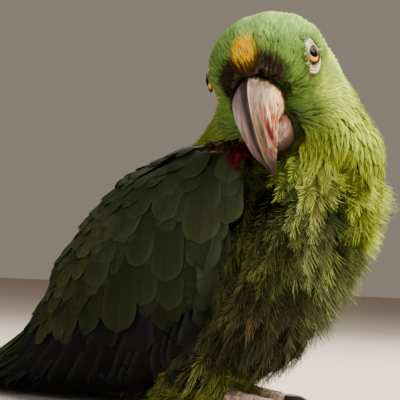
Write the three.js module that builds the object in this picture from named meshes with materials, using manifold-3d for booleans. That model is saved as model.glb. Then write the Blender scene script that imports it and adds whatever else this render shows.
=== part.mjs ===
// A yellow-crowned amazon parrot, life size, still, standing low on a floor
// with its head turned over the right shoulder. Millimetres, +Z up. The bird
// faces +X and its left side is +Y. Each sub-part is one closed solid, coat
// and feathers included, and neighbours keep a thin gap.
import * as THREE from "three";
import { mergeVertices } from "three/addons/utils/BufferGeometryUtils.js";
import Module from "manifold-3d";

// ---------- Driving dimensions ----------
const GAP = 0.3; // between neighbouring solids
const FAR = 400; // larger than the bird, for cutting blocks

// Body stations from the nape to the wing tips. Each holds the breast-side
// point [x, z], the back-side point [x, z], the half-width with the wings on,
// the depth that the folded wing takes up, and how square the section is, from
// 2 for an ellipse.
const BODY = [
  { front: [12, 139], back: [-10, 139], half: 10, wing: 0, square: 2 },
  { front: [20, 134], back: [-17, 134], half: 16.5, wing: 0, square: 2 },
  { front: [26.5, 126], back: [-20, 127], half: 21, wing: 0, square: 2 },
  { front: [33, 115], back: [-22, 117], half: 25, wing: 0, square: 2 },
  { front: [41.5, 104], back: [-27.5, 105.5], half: 28.5, wing: 0, square: 2 },
  { front: [45, 93], back: [-34, 97], half: 34, wing: 3, square: 2 },
  { front: [44.5, 78], back: [-53, 89.5], half: 41, wing: 6, square: 2 },
  { front: [39.5, 62], back: [-68.5, 76.5], half: 43.5, wing: 6, square: 2 },
  { front: [28.5, 46], back: [-81, 61], half: 44, wing: 6, square: 2.1 },
  { front: [19, 31], back: [-90.5, 45], half: 43, wing: 6, square: 2.2 },
  { front: [7, 15], back: [-98, 29.5], half: 41, wing: 6, square: 2.4 },
  { front: [-22, 3.6], back: [-107, 15.5], half: 37, wing: 6, square: 2.7 },
  { front: [-70, 1.8], back: [-127, 12], half: 31, wing: 6, square: 2.8 },
  { front: [-128, 4], back: [-150, 11], half: 25, wing: 6, square: 2.6 },
  { front: [-172, 6.4], back: [-178, 9], half: 11, wing: 6, square: 2 },
];
// The trunk follows the first stations, then closes round the tail's root.
const TRUNK_STATIONS = 12;
const VENT = [
  { front: [-58, 2.2], back: [-107.5, 12.5], half: 31, wing: 6, square: 2.6 },
  { front: [-86, 1.6], back: [-107, 9.5], half: 24, wing: 6, square: 2.3 },
  { front: [-96, 1.6], back: [-105, 6.5], half: 17, wing: 6, square: 2 },
];
const REMEX_DROP = 1.6; // flight feathers lie this much lower than the coverts
const NECK_BASE = { front: [44.5, 84], back: [-42, 97] }; // the cut under the neck

// Head, in its own frame: +X out of the face, +Y its left, +Z the crown. Rows
// give the widest level z, the height up and down from it, and the half-width.
const HEAD_CENTRE = [4.0, -18.5, 120.5];
const HEAD_YAW = -75;
const HEAD_NOD = 17;
const HEAD_ROLL = 15;
const HEAD = [
  { x: -26, z: 0, up: 6, down: 8, half: 6 },
  { x: -20, z: 2, up: 13.5, down: 19, half: 16 },
  { x: -11, z: 3.5, up: 17.8, down: 25, half: 21.6 },
  { x: -2, z: 4, up: 18.3, down: 27, half: 22.8 },
  { x: 7, z: 3.5, up: 17.2, down: 25, half: 21.2 },
  { x: 14.5, z: 1, up: 15, down: 19, half: 17.8 },
  { x: 20.5, z: -3, up: 10.5, down: 12, half: 12.8 },
  { x: 23.5, z: -6, up: 5, down: 5, half: 7 },
];
const EYE = { x: 8.5, y: 15.3, z: 3.2, radius: 5 };
const EYE_RING = { wide: 7.6, high: 7.8, proud: -0.6, thick: 3.4 };
const BILL_UPPER = [
  { x: 15, z: -6.5, up: 8.5, down: 8.5, half: 8.4 },
  { x: 22, z: -6, up: 8.8, down: 8.8, half: 9 },
  { x: 28, z: -8.4, up: 8.2, down: 8, half: 8.3 },
  { x: 31.4, z: -14.5, up: 6.6, down: 6, half: 6.7 },
  { x: 31.2, z: -21.5, up: 4.6, down: 4, half: 4.7 },
  { x: 29.4, z: -26.6, up: 2.6, down: 2.2, half: 2.4 },
  { x: 27.4, z: -31, up: 0.6, down: 0.6, half: 0.6 },
];
const BILL_LOWER = [
  { x: 11, z: -17, up: 6, down: 6, half: 8 },
  { x: 17.5, z: -19.5, up: 6.4, down: 6.4, half: 8.6 },
  { x: 23, z: -21, up: 5, down: 5, half: 7.6 },
  { x: 26.8, z: -21, up: 2, down: 2, half: 4.4 },
];
const CERE = { x: 20.8, z: 3.2, long: 4, half: 10.4, high: 6.2 };

// Wing outlines seen from the side: the front and lower edges of the folded
// wing, its upper edge under the neck, and the tips of its feather rows.
const WING_FRONT = [[4, 92], [4.5, 84], [3.5, 74], [1, 63], [-3, 53], [-7, 43], [-13, 28], [-26, 15], [-44, 7]];
const WING_TOP = [[-6, 95], [-20, 95.5], [-32, 97], [-60, 112]];
const WING_FLOOR = 1.8;
const COVERT_TIPS = [[-90, 78], [-82, 52], [-72, 34], [-54, 22], [-34, 19], [-20, 18]];
const SECONDARY_TIPS = [[-126, 40], [-127, 12], [-116, 9], [-98, 6], [-86, -2]];
const COVERT_WIDTH = 14;
const SECONDARY_WIDTH = 9;
const MANTLE_HALF = 25; // half-width of the mantle between the wings, at the neck
const MANTLE_END = -84; // the wings meet behind this
const WING_SPLIT = 0.4; // slit between the two folded wings

// Tail: twelve feathers in a closed fan, the middle pair on top.
const TAIL_BASE = -90;
const TAIL_TIP = -208;
const TAIL_SPREAD = 12; // degrees from the middle to the outermost feather
const RECTRICES = 12;
const RECTRIX = { root: 8, wide: 17, thick: 3.4, step: 1.2 };
const OUTER_SHORTER = 16;
const ROOT_SPREAD = 10; // from the middle to the outermost feather's root
const TAIL_HALF = 21; // the room that the fan takes up under the wings
const TAIL_TOP = 5.4;

// Legs and feet. Toes 2 and 3 point forward, toes 1 and 4 backward. The left
// foot stands further back.
const STANCE = { right: -6, left: -31 };
const FOOT = { y: 18, long: 8.5, half: 6.8, high: 4.6, z: 4 };
const TOES = [
  { name: 1, heading: 152, long: 19, radius: 3.5, claw: 9 },
  { name: 2, heading: 20, long: 24, radius: 3.8, claw: 10 },
  { name: 3, heading: -9, long: 29, radius: 4.1, claw: 11 },
  { name: 4, heading: -156, long: 26, radius: 3.9, claw: 10 },
];
const TOE_TAPER = 0.74;
const CLAW_RADIUS = 2.1;
const TARSUS = { from: [-15, 18], to: [-1, 7.5], radius: 4.2 };
const THIGH = { back: 17, out: 2, z: 17, long: 22, half: 15.5, high: 13, tilt: 14 };

// ---------- Materials ----------
const paint = (color, roughness) => new THREE.MeshStandardMaterial({ color, roughness, metalness: 0 });
const green = paint(0x6b8f3a, 0.85);
const olive = paint(0x5a6426, 0.9);
const darkGreen = paint(0x27311b, 0.7);
const black = paint(0x15160f, 0.6);
const horn = paint(0xc2ab94, 0.45);
const bareSkin = paint(0xd8c8a6, 0.8);
const dusky = paint(0x4a3c31, 0.9);
const amber = paint(0xb9772c, 0.1);
const scaly = paint(0xb9a695, 0.75);
const clawGrey = paint(0x3b3734, 0.4);

// ---------- Solids and booleans ----------
const wasm = await Module();
wasm.setup();
const { degToRad, lerp, clamp } = THREE.MathUtils;

function solidOf(geometry) {
  const bare = geometry.clone();
  bare.deleteAttribute("normal");
  bare.deleteAttribute("uv");
  const merged = mergeVertices(bare, 1e-4);
  return new wasm.Manifold(
    new wasm.Mesh({
      numProp: 3,
      vertProperties: Float32Array.from(merged.attributes.position.array),
      triVerts: Uint32Array.from(merged.index.array),
    }),
  );
}

function geometryOf(solid) {
  const { vertProperties, triVerts } = solid.getMesh();
  const geometry = new THREE.BufferGeometry();
  geometry.setAttribute("position", new THREE.BufferAttribute(vertProperties, 3));
  geometry.setIndex(new THREE.BufferAttribute(triVerts, 1));
  geometry.computeVertexNormals();
  return geometry;
}

const rounded = (value, power) => Math.sign(value) * Math.abs(value) ** power;

// A closed tube through sections: section(t) gives its centre, its two
// in-plane axes, the half-sizes sideways, ahead and behind, and the power that
// squares the section.
function loft(section, sides, rings) {
  const geometry = new THREE.SphereGeometry(1, sides, rings);
  const { position, uv } = geometry.attributes;
  for (let i = 0; i < position.count; i += 1) {
    const along = 1 - uv.getY(i);
    const inner = clamp((along * rings - 1) / (rings - 2), 0, 1);
    const { centre, side, front, half, ahead, behind, power = 1 } = section(inner);
    const ring = Math.hypot(position.getX(i), position.getZ(i));
    if (ring > 1e-6) {
      const across = rounded(position.getX(i) / ring, power);
      const forth = rounded(position.getZ(i) / ring, power);
      centre.addScaledVector(side, across * half);
      centre.addScaledVector(front, forth * (forth > 0 ? ahead : behind));
    }
    position.setXYZ(i, centre.x, centre.y, centre.z);
  }
  return solidOf(geometry);
}

// Smooth curve through [x, y, z] points.
const curveThrough = (points) =>
  new THREE.CatmullRomCurve3(points.map((p) => new THREE.Vector3(...p)), false, "centripetal");

// Body shape between the breast line and the back line. Bare takes the wing's
// depth off the back and the sides, drop lowers both, and grow adds a gap.
function bodyShape(stations, { bare = false, drop = 0, grow = 0, sides = 18, rings = 15 } = {}) {
  const breast = curveThrough(stations.map((s) => [s.front[0], 0, s.front[1]]));
  const back = curveThrough(stations.map((s) => [s.back[0], 0, s.back[1]]));
  const width = curveThrough(stations.map((s) => [s.square * 10, s.half, s.wing]));
  const section = (t) => {
    const ahead = breast.getPoint(t);
    const behind = back.getPoint(t);
    const across = ahead.clone().sub(behind);
    const deep = across.length() / 2;
    const { x: square, y: half, z: wing } = width.getPoint(t);
    const inset = (bare ? wing : 0) + drop;
    return {
      centre: ahead.add(behind).multiplyScalar(0.5),
      side: new THREE.Vector3(0, 1, 0),
      front: across.normalize(),
      half: Math.max(half - inset, 1) + grow,
      ahead: deep + grow,
      behind: Math.max(deep - inset, 1) + grow,
      power: 20 / square,
    };
  };
  return loft(section, sides, rings);
}

// A head or bill along its length, from rows of { x, z, up, down, half }.
function profileShape(rows, { grow = 0, sides = 18, rings = 13 } = {}) {
  const middle = curveThrough(rows.map((r) => [r.x, 0, r.z]));
  const size = curveThrough(rows.map((r) => [r.up, r.down, r.half]));
  const section = (t) => {
    const side = new THREE.Vector3(0, 1, 0);
    const { x: up, y: down, z: half } = size.getPoint(t);
    return {
      centre: middle.getPoint(t),
      side,
      front: middle.getTangent(t).cross(side),
      half: half + grow,
      ahead: up + grow,
      behind: down + grow,
    };
  };
  return loft(section, sides, rings);
}

// A round limb along a curve, its radius given by a function of 0 to 1.
function limbShape(points, radiusAt, { grow = 0, sides = 8, rings = 5 } = {}) {
  const middle = curveThrough(points);
  const section = (t) => {
    const tangent = middle.getTangent(t);
    const side = new THREE.Vector3(-tangent.y, tangent.x, 0).normalize();
    const radius = radiusAt(t) + grow;
    return {
      centre: middle.getPoint(t),
      side,
      front: tangent.cross(side),
      half: radius,
      ahead: radius,
      behind: radius,
    };
  };
  return loft(section, sides, rings);
}

function ellipsoid([x, y, z], [a, b, c], { grow = 0, tilt = 0, sides = 10, rings = 7 } = {}) {
  const geometry = new THREE.SphereGeometry(1, sides, rings);
  geometry.rotateX(Math.PI / 2);
  geometry.scale(a + grow, b + grow, c + grow);
  geometry.rotateY(degToRad(tilt));
  geometry.translate(x, y, z);
  return solidOf(geometry);
}

function block([x0, y0, z0], [x1, y1, z1]) {
  const geometry = new THREE.BoxGeometry(x1 - x0, y1 - y0, z1 - z0);
  geometry.translate((x0 + x1) / 2, (y0 + y1) / 2, (z0 + z1) / 2);
  return solidOf(geometry);
}

// A closed outline, extruded: [x, z] points across the whole width, or
// [x, y] points upward from a level.
function sideCut(outline) {
  const shape = new THREE.Shape(outline.map(([x, z]) => new THREE.Vector2(x, z)));
  const geometry = new THREE.ExtrudeGeometry(shape, { depth: 2 * FAR, bevelEnabled: false });
  geometry.translate(0, 0, -FAR);
  geometry.rotateX(Math.PI / 2);
  return solidOf(geometry);
}

function planCut(outline, level) {
  const shape = new THREE.Shape(outline.map(([x, y]) => new THREE.Vector2(x, y)));
  const geometry = new THREE.ExtrudeGeometry(shape, { depth: FAR, bevelEnabled: false });
  geometry.translate(0, 0, level);
  return solidOf(geometry);
}

// Points along a smooth line, pushed out in round scallops like feather tips.
function scallops(points, width, bulge) {
  const line = new THREE.SplineCurve(points.map(([x, z]) => new THREE.Vector2(x, z)));
  const count = Math.round(line.getLength() / width);
  const steps = 3;
  const edge = [];
  for (let i = 0; i < count * steps; i += 1) {
    const t = i / (count * steps);
    const along = line.getPointAt(t);
    const tangent = line.getTangentAt(t);
    const out = bulge * Math.sin((Math.PI * (i % steps)) / steps);
    edge.push([along.x - tangent.y * out, along.y + tangent.x * out]);
  }
  return edge;
}

const mirrored = (solid) => solid.mirror([0, 1, 0]);
const aboveFloor = (solid) => solid.intersect(block([-FAR, -FAR, 0], [FAR, FAR, FAR]));

// ---------- The bird and its head's place ----------
const group = new THREE.Group();
const bird = new THREE.Group();
const headPlace = new THREE.Group();
headPlace.position.set(...HEAD_CENTRE);
headPlace.rotation.set(degToRad(HEAD_ROLL), degToRad(HEAD_NOD), degToRad(HEAD_YAW), "ZYX");
headPlace.updateMatrix();
bird.add(headPlace);
group.add(bird);

// Cuts between faceted shapes can leave a crumb behind, so the largest body stays.
const largestBody = (solid) => solid.decompose().reduce((a, b) => (a.volume() > b.volume() ? a : b));

function addNode(name, solid, material, parent = bird) {
  const mesh = new THREE.Mesh(geometryOf(largestBody(solid)), material);
  mesh.name = name;
  parent.add(mesh);
}

// ---------- Head, bill and eyes, in the head's frame ----------
const headShape = (grow) => profileShape(HEAD, { grow, sides: 14, rings: 11 });
const upperShape = (grow) => profileShape(BILL_UPPER, { grow, sides: 12, rings: 11 });
const lowerShape = (grow) => profileShape(BILL_LOWER, { grow, sides: 12, rings: 6 });
const cereShape = (grow) =>
  ellipsoid([CERE.x, 0, CERE.z], [CERE.long, CERE.half, CERE.high], { grow, sides: 8 });
const eyeShape = (side, grow) =>
  ellipsoid([EYE.x, side * EYE.y, EYE.z], [EYE.radius, EYE.radius, EYE.radius], { grow });
const ringShape = (side, grow) => {
  const { wide, high, proud, thick } = EYE_RING;
  const middle = [EYE.x, side * (EYE.y + EYE.radius + proud - thick), EYE.z];
  return ellipsoid(middle, [wide, thick, high], { grow, sides: 8 });
};

let headFlesh = headShape(0).subtract(upperShape(GAP)).subtract(lowerShape(GAP)).subtract(cereShape(GAP));
for (const [name, side] of [["right", -1], ["left", 1]]) {
  headFlesh = headFlesh.subtract(ringShape(side, GAP)).subtract(eyeShape(side, GAP));
  addNode(`eye_${name}`, eyeShape(side, 0), amber, headPlace);
  addNode(`eye_ring_${name}`, ringShape(side, 0).subtract(eyeShape(side, GAP)), bareSkin, headPlace);
}
addNode("head", headFlesh, green, headPlace);
addNode("cere", cereShape(0).subtract(upperShape(GAP)), dusky, headPlace);
addNode("bill_upper", upperShape(0), horn, headPlace);
addNode("bill_lower", lowerShape(0).subtract(upperShape(GAP)), horn, headPlace);

// The room that the head and the bill take up in the bird's own frame.
const headRoom = headShape(GAP).add(upperShape(GAP)).add(lowerShape(GAP)).transform(headPlace.matrix.toArray());

// ---------- Legs and feet ----------
// Built on the right at a given x, and mirrored for the left.
function legSolids(x) {
  const pad = (grow) => ellipsoid([x, -FOOT.y, FOOT.z], [FOOT.long, FOOT.half, FOOT.high], { grow });
  const thighAt = [x - THIGH.back, -FOOT.y - THIGH.out, THIGH.z];
  const thigh = (grow) => ellipsoid(thighAt, [THIGH.long, THIGH.half, THIGH.high], { grow, tilt: THIGH.tilt });
  const shin = [TARSUS.from, TARSUS.to].map(([a, c]) => [x + a, -FOOT.y, c]);
  const tarsus = (grow) => limbShape(shin, () => TARSUS.radius, { grow, rings: 4 });
  const pieces = { foot: aboveFloor(pad(0)) };
  let taken = pad(GAP);
  for (const toe of TOES) {
    const turn = degToRad(toe.heading);
    const at = (far, high) => [x + far * Math.cos(turn), -FOOT.y + far * Math.sin(turn), high];
    const tip = toe.radius * TOE_TAPER;
    const bone = [at(2, toe.radius), at(toe.long / 2, toe.radius * 0.92), at(toe.long, tip * 0.9)];
    const knuckled = (t) => lerp(toe.radius, tip, t) * (1 + 0.07 * Math.cos(t * 5 * Math.PI));
    const flesh = (grow) => limbShape(bone, knuckled, { grow });
    const nail = [
      at(toe.long - 0.6, tip * 0.95),
      at(toe.long + toe.claw * 0.4, tip * 1.35),
      at(toe.long + toe.claw * 0.8, tip * 0.8),
      at(toe.long + toe.claw, 0.7),
    ];
    const claw = (grow) => limbShape(nail, (t) => lerp(CLAW_RADIUS, 0.45, t), { grow, sides: 5, rings: 4 });
    pieces[`toe_${toe.name}`] = aboveFloor(flesh(0)).subtract(taken);
    pieces[`claw_${toe.name}`] = aboveFloor(claw(0)).subtract(flesh(GAP));
    taken = taken.add(flesh(GAP)).add(claw(GAP));
  }
  pieces.tarsus = tarsus(0).subtract(taken);
  pieces.thigh = thigh(0).subtract(taken).subtract(tarsus(GAP));
  return { pieces, room: thigh(GAP).add(tarsus(GAP)).add(taken) };
}

const rightLeg = legSolids(STANCE.right);
const leftLeg = legSolids(STANCE.left);
const legRoom = rightLeg.room.add(mirrored(leftLeg.room));
const legColour = (name) => (name.startsWith("claw") ? clawGrey : name === "thigh" ? olive : scaly);
for (const name of Object.keys(rightLeg.pieces)) {
  const [stem, number] = name.split("_");
  const tail = number ? `_${number}` : "";
  addNode(`${stem}_right${tail}`, rightLeg.pieces[name], legColour(name));
  addNode(`${stem}_left${tail}`, mirrored(leftLeg.pieces[name]), legColour(name));
}

// ---------- Trunk and neck ----------
// One shape, parted by a thin cut that slopes from the breast up to the back.
const trunkStations = BODY.slice(0, TRUNK_STATIONS).concat(VENT);
const trunkShape = (grow) => bodyShape(trunkStations, { bare: true, grow });
const slope = (NECK_BASE.back[1] - NECK_BASE.front[1]) / (NECK_BASE.front[0] - NECK_BASE.back[0]);
const cutLine = (drop) => [-FAR, FAR].map((x) => [x, NECK_BASE.front[1] - slope * (x - NECK_BASE.front[0]) - drop]);
const aboveNeck = sideCut([...cutLine(0), [FAR, 2 * FAR], [-FAR, 2 * FAR]]);
const belowNeck = sideCut([...cutLine(GAP), [FAR, -2 * FAR], [-FAR, -2 * FAR]]);
addNode("neck", trunkShape(0).intersect(aboveNeck).subtract(headRoom), green);
addNode("trunk", trunkShape(0).intersect(belowNeck).subtract(headRoom).subtract(legRoom), olive);

// ---------- Wings and mantle ----------
// They fill the room between the trunk and the outer body shape.
const covertRoom = bodyShape(BODY).subtract(trunkShape(GAP)).subtract(headRoom);
const remexRoom = bodyShape(BODY, { drop: REMEX_DROP }).subtract(trunkShape(GAP));
const wingEdge = scallops(WING_FRONT, COVERT_WIDTH, 1.6);
const covertEdge = scallops(COVERT_TIPS, COVERT_WIDTH, -3);
const secondaryEdge = scallops(SECONDARY_TIPS, SECONDARY_WIDTH, -2);
const lowered = (points) => points.map(([x, z]) => [x - GAP, z - GAP]);
const aheadOf = (edge, foot, crest) => sideCut([...edge, [foot[0], foot[1]], [60, foot[1]], [60, crest[1]], crest]);

const wingSide = sideCut([...wingEdge, [-80, WING_FLOOR], [-FAR, WING_FLOOR], [-FAR, 130], ...[...WING_TOP].reverse()]);
const covertSide = aheadOf(covertEdge, [-9, 10], [-90, 140]);
const covertTaken = aheadOf(lowered(covertEdge), [-9 - GAP, 10 - GAP], [-90 - GAP, 140]);
const secondarySide = aheadOf(secondaryEdge, [-80, -20], [-126, 140]);
const secondaryTaken = aheadOf(lowered(secondaryEdge), [-80, -20], [-126 - GAP, 140]);

// In plan, the mantle narrows from the neck to where the wings meet.
const mantlePlan = (grow) => {
  const side = [[MANTLE_END, WING_SPLIT + grow], [0, MANTLE_HALF + grow], [FAR, MANTLE_HALF + grow]];
  return planCut([...side, ...side.map(([x, y]) => [x, -y]).reverse()], 40);
};
const halves = {
  right: block([-FAR, -FAR, -FAR], [FAR, -WING_SPLIT / 2, FAR]),
  left: block([-FAR, WING_SPLIT / 2, -FAR], [FAR, FAR, FAR]),
};
const tailRoom = block([-FAR, -TAIL_HALF, -FAR], [TAIL_BASE + 4, TAIL_HALF, TAIL_TOP]);
const notWing = mantlePlan(GAP).add(legRoom).add(tailRoom);
const wingFeathers = [
  ["coverts", covertRoom.intersect(covertSide), darkGreen],
  ["secondaries", remexRoom.intersect(secondarySide).subtract(covertTaken), darkGreen],
  ["primaries", remexRoom.subtract(secondaryTaken).subtract(covertTaken), black],
];
for (const [name, room, colour] of wingFeathers) {
  const feathers = room.intersect(wingSide).subtract(notWing);
  for (const [side, half] of Object.entries(halves)) {
    addNode(`wing_${side}_${name}`, feathers.intersect(half), colour);
  }
}
const mantleSpan = block([MANTLE_END, -FAR, 40], [-6, FAR, FAR]);
addNode("mantle", covertRoom.intersect(mantlePlan(0)).intersect(mantleSpan).intersect(belowNeck), darkGreen);

// ---------- Tail ----------
function rectrix(index) {
  const middle = (RECTRICES - 1) / 2;
  const offset = (index - middle) / middle;
  const { root, wide, thick, step } = RECTRIX;
  const long = TAIL_BASE - TAIL_TIP - OUTER_SHORTER * offset * offset;
  const tip = new THREE.EllipseCurve(long - wide * 0.7, 0, wide * 0.7, wide / 2, -Math.PI / 2, Math.PI / 2);
  const vane = [new THREE.Vector2(0, root / 2), new THREE.Vector2(0, -root / 2), ...tip.getPoints(4)];
  const depth = Math.abs(index - middle) < 1 ? thick + step : thick;
  const blade = new THREE.ExtrudeGeometry(new THREE.Shape(vane), { depth, bevelEnabled: false });
  blade.rotateZ(Math.PI + degToRad(offset * TAIL_SPREAD));
  blade.translate(TAIL_BASE, offset * ROOT_SPREAD, 0);
  return solidOf(blade);
}
let fan = rectrix(0);
for (let index = 1; index < RECTRICES; index += 1) fan = fan.add(rectrix(index));
const tailRoot = block([TAIL_BASE - 4, -FAR, -FAR], [FAR, FAR, FAR]);
addNode("tail", fan.subtract(trunkShape(GAP)).subtract(tailRoot), darkGreen);

// ---------- Origin at the middle of the bounding box's floor ----------
bird.updateMatrixWorld(true);
const box = new THREE.Box3().setFromObject(bird, true);
bird.position.set(-(box.min.x + box.max.x) / 2, -(box.min.y + box.max.y) / 2, -box.min.z);

export default group;
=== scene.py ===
# %% [markdown]
# # A yellow-crowned amazon parrot, life size
# The bird stands low on a floor with its head turned over its right shoulder.
# The solids give its outline. Here it gets one skin, a coat in which every
# feather is modelled, a horn bill, wet eyes, bristles and scaly feet.

# %% Load the frame
import math

import bmesh
import bpy
import numpy as np
from mathutils import Euler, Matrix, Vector
from mathutils.bvhtree import BVHTree
from mathutils.kdtree import KDTree


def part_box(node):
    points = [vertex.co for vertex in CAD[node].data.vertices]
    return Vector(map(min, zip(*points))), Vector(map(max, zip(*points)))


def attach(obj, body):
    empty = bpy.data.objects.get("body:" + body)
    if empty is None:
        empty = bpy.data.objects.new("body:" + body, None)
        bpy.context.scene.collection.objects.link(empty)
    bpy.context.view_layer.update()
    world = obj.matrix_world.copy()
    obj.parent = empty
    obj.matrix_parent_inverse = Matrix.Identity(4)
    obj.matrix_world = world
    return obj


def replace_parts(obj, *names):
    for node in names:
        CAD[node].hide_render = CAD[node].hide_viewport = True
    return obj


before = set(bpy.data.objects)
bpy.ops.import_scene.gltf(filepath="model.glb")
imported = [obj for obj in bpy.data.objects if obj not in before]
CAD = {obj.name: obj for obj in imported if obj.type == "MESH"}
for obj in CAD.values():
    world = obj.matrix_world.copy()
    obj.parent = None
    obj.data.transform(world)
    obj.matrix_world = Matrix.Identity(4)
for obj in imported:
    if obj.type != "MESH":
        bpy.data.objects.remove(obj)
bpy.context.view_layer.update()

MM = 0.001

# %% [markdown]
# Everything below is measured in millimetres from a spot on the floor, midway
# between the two sides' feet and a little ahead of them, with +X ahead of the
# bird and +Y to its left. The head has axes of its own, turned a good way
# round and tipped, so that the face, the crown and the eyes can be described
# as on a bird that looks straight ahead.

# %% Places and axes
STANCE = 6.0      # the right foot stands this far behind the origin
FOOT_SIDE = 18.0  # and this far to the right of it
HEAD_TURN = (15.0, 17.0, -75.0)  # roll, nod and yaw in degrees
EYE_IN_HEAD = (8.5, 15.3, 3.2)


def box_middle(node):
    low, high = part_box(node)
    return (np.array(low) + np.array(high)) / 2 / MM


foot = box_middle("foot_right")
ORIGIN = np.array([foot[0] + STANCE, foot[1] + FOOT_SIDE, 0.0])
HEAD_AXES = np.array(Euler([math.radians(a) for a in HEAD_TURN], "XYZ").to_matrix())
eyes = (box_middle("eye_right") + box_middle("eye_left")) / 2 - ORIGIN
HEAD_MIDDLE = eyes - HEAD_AXES @ np.array([EYE_IN_HEAD[0], 0.0, EYE_IN_HEAD[2]])


def to_head(points):
    """Points in the bird's millimetres, seen in the head's own axes."""
    return (points - HEAD_MIDDLE) @ HEAD_AXES


def from_head(points):
    return np.asarray(points) @ HEAD_AXES.T + HEAD_MIDDLE


def to_world(points):
    return (np.asarray(points) + ORIGIN) * MM


def ramp(values, low, high):
    """0 below low, 1 above high, and smooth between."""
    t = np.clip((values - low) / (high - low), 0.0, 1.0)
    return t * t * (3 - 2 * t)


def unit(vectors):
    return vectors / np.maximum(np.linalg.norm(vectors, axis=-1, keepdims=True), 1e-9)


print("origin", ORIGIN.round(2), "head middle", HEAD_MIDDLE.round(2))

# %% [markdown]
# The camera stands low, to the right of the bird and ahead of it, and looks
# slightly up, with the horizon a little tilted. The floor is plain and pale.
# A warm lamp high in front lights the head and breast, one on the far side
# lights the crown and nape, and a weak broad one keeps the wing in soft shade.

# %% Camera, floor and lamps
VIEW_TURN = 28.0     # degrees round from the bird's right side towards its face
VIEW_RISE = 3.5      # degrees that the view looks upward
VIEW_ROLL = 2.6
VIEW_FAR = 450.0
VIEW_WIDE = 152.0    # width of the view at the point aimed at
AIM = np.array([-31.0, 0.0, 77.0])


def add_camera():
    turn, rise = math.radians(VIEW_TURN), math.radians(VIEW_RISE)
    ahead = Vector((-math.sin(turn) * math.cos(rise), math.cos(turn) * math.cos(rise), math.sin(rise)))
    bpy.ops.object.camera_add(location=to_world(AIM - VIEW_FAR * np.array(ahead)))
    camera = bpy.context.object
    camera.name = "camera"
    camera.rotation_mode = "QUATERNION"
    level = ahead.to_track_quat("-Z", "Y")
    camera.rotation_quaternion = level @ Euler((0, 0, math.radians(VIEW_ROLL))).to_quaternion()
    camera.data.angle = 2 * math.atan(VIEW_WIDE / 2 / VIEW_FAR)
    camera.data.clip_start = 0.01
    bpy.context.scene.camera = camera
    return camera


def add_lamp(name, place, aim, size, power, colour):
    bpy.ops.object.light_add(type="AREA", location=to_world(place))
    lamp = bpy.context.object
    lamp.name = name
    lamp.data.size = size
    lamp.data.energy = power
    lamp.data.color = colour
    toward = Vector(to_world(aim)) - lamp.location
    lamp.rotation_euler = toward.to_track_quat("-Z", "Y").to_euler()
    return lamp


def new_material(name, sockets):
    """A material with its own Principled shader, whose named sockets are set."""
    material = bpy.data.materials.new(name)
    material.use_nodes = True
    tree = material.node_tree
    surface = tree.nodes["Principled BSDF"]
    for socket, value in sockets.items():
        surface.inputs[socket].default_value = value
    return material, tree, surface


camera = add_camera()
bpy.ops.mesh.primitive_plane_add(size=6.0, location=(0, 0, 0))
floor = bpy.context.object
floor.name = "floor"
pale_floor = new_material("pale_floor", {"Base Color": (0.56, 0.50, 0.43, 1.0), "Roughness": 0.9})[0]
floor.data.materials.append(pale_floor)

add_lamp("key_lamp", (330, 70, 530), (10, 0, 100), 0.36, 15.5, (1.0, 0.94, 0.78))
add_lamp("crown_lamp", (-60, 320, 420), (0, 0, 120), 0.40, 4.0, (1.0, 0.97, 0.92))
add_lamp("fill_lamp", (150, -620, 260), (0, 0, 70), 0.70, 1.8, (0.95, 0.97, 1.0))
world = bpy.data.worlds.new("soft_room")
bpy.context.scene.world = world
world.use_nodes = True
world.node_tree.nodes["Background"].inputs["Color"].default_value = (0.62, 0.52, 0.42, 1.0)
world.node_tree.nodes["Background"].inputs["Strength"].default_value = 0.42
print("camera at", [round(v, 4) for v in camera.location],
      "field", round(math.degrees(camera.data.angle), 2))

# %% [markdown]
# A bird's skin is one loose sheet over its flesh. Copies of the flesh solids
# are grown until they meet, and a voxel remesh melts them into one closed
# form with no seams. A second, coarser form, with the flight feathers' solids
# in it and without the bare legs, is kept for a while as the guide that the
# large feathers lie on.

# %% The whole form
SIDES = ("right", "left")
HEAD_FLESH = ["head", "cere", "eye_ring_right", "eye_ring_left"]
TRUNK_FLESH = ["neck", "trunk", "mantle"] + [f"wing_{side}_coverts" for side in SIDES]
LEG_FLESH = [f"{part}_{side}" for side in SIDES
             for part in ("thigh", "tarsus", "foot", "toe_1", "toe_2", "toe_3", "toe_4")]
LEG_FLESH = [name if "toe" not in name else "toe_{2}_{1}".format(*name.split("_")) for name in LEG_FLESH]
REMIGES = [f"wing_{side}_{row}" for side in SIDES for row in ("secondaries", "primaries")]
FINE = 1.1        # voxel of the skin
COARSE = 1.6      # voxel of the guide
GROW = 0.25       # how far each copy is pushed out, to close the gaps


def deselect():
    bpy.ops.object.select_all(action="DESELECT")


def make_active(piece):
    deselect()
    piece.select_set(True)
    bpy.context.view_layer.objects.active = piece


def grown_copies(name, nodes, grow):
    """Copies of CAD nodes in one mesh, each pushed out a little along its normals."""
    joined = bmesh.new()
    for node in nodes:
        part = bmesh.new()
        part.from_mesh(CAD[node].data)
        bmesh.ops.remove_doubles(part, verts=part.verts, dist=1e-6)
        part.normal_update()
        for vertex in part.verts:
            vertex.co += vertex.normal * grow * MM
        scratch = bpy.data.meshes.new("scratch")
        part.to_mesh(scratch)
        part.free()
        joined.from_mesh(scratch)
        bpy.data.meshes.remove(scratch)
    mesh = bpy.data.meshes.new(name)
    joined.to_mesh(mesh)
    joined.free()
    piece = bpy.data.objects.new(name, mesh)
    bpy.context.scene.collection.objects.link(piece)
    return piece


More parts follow.
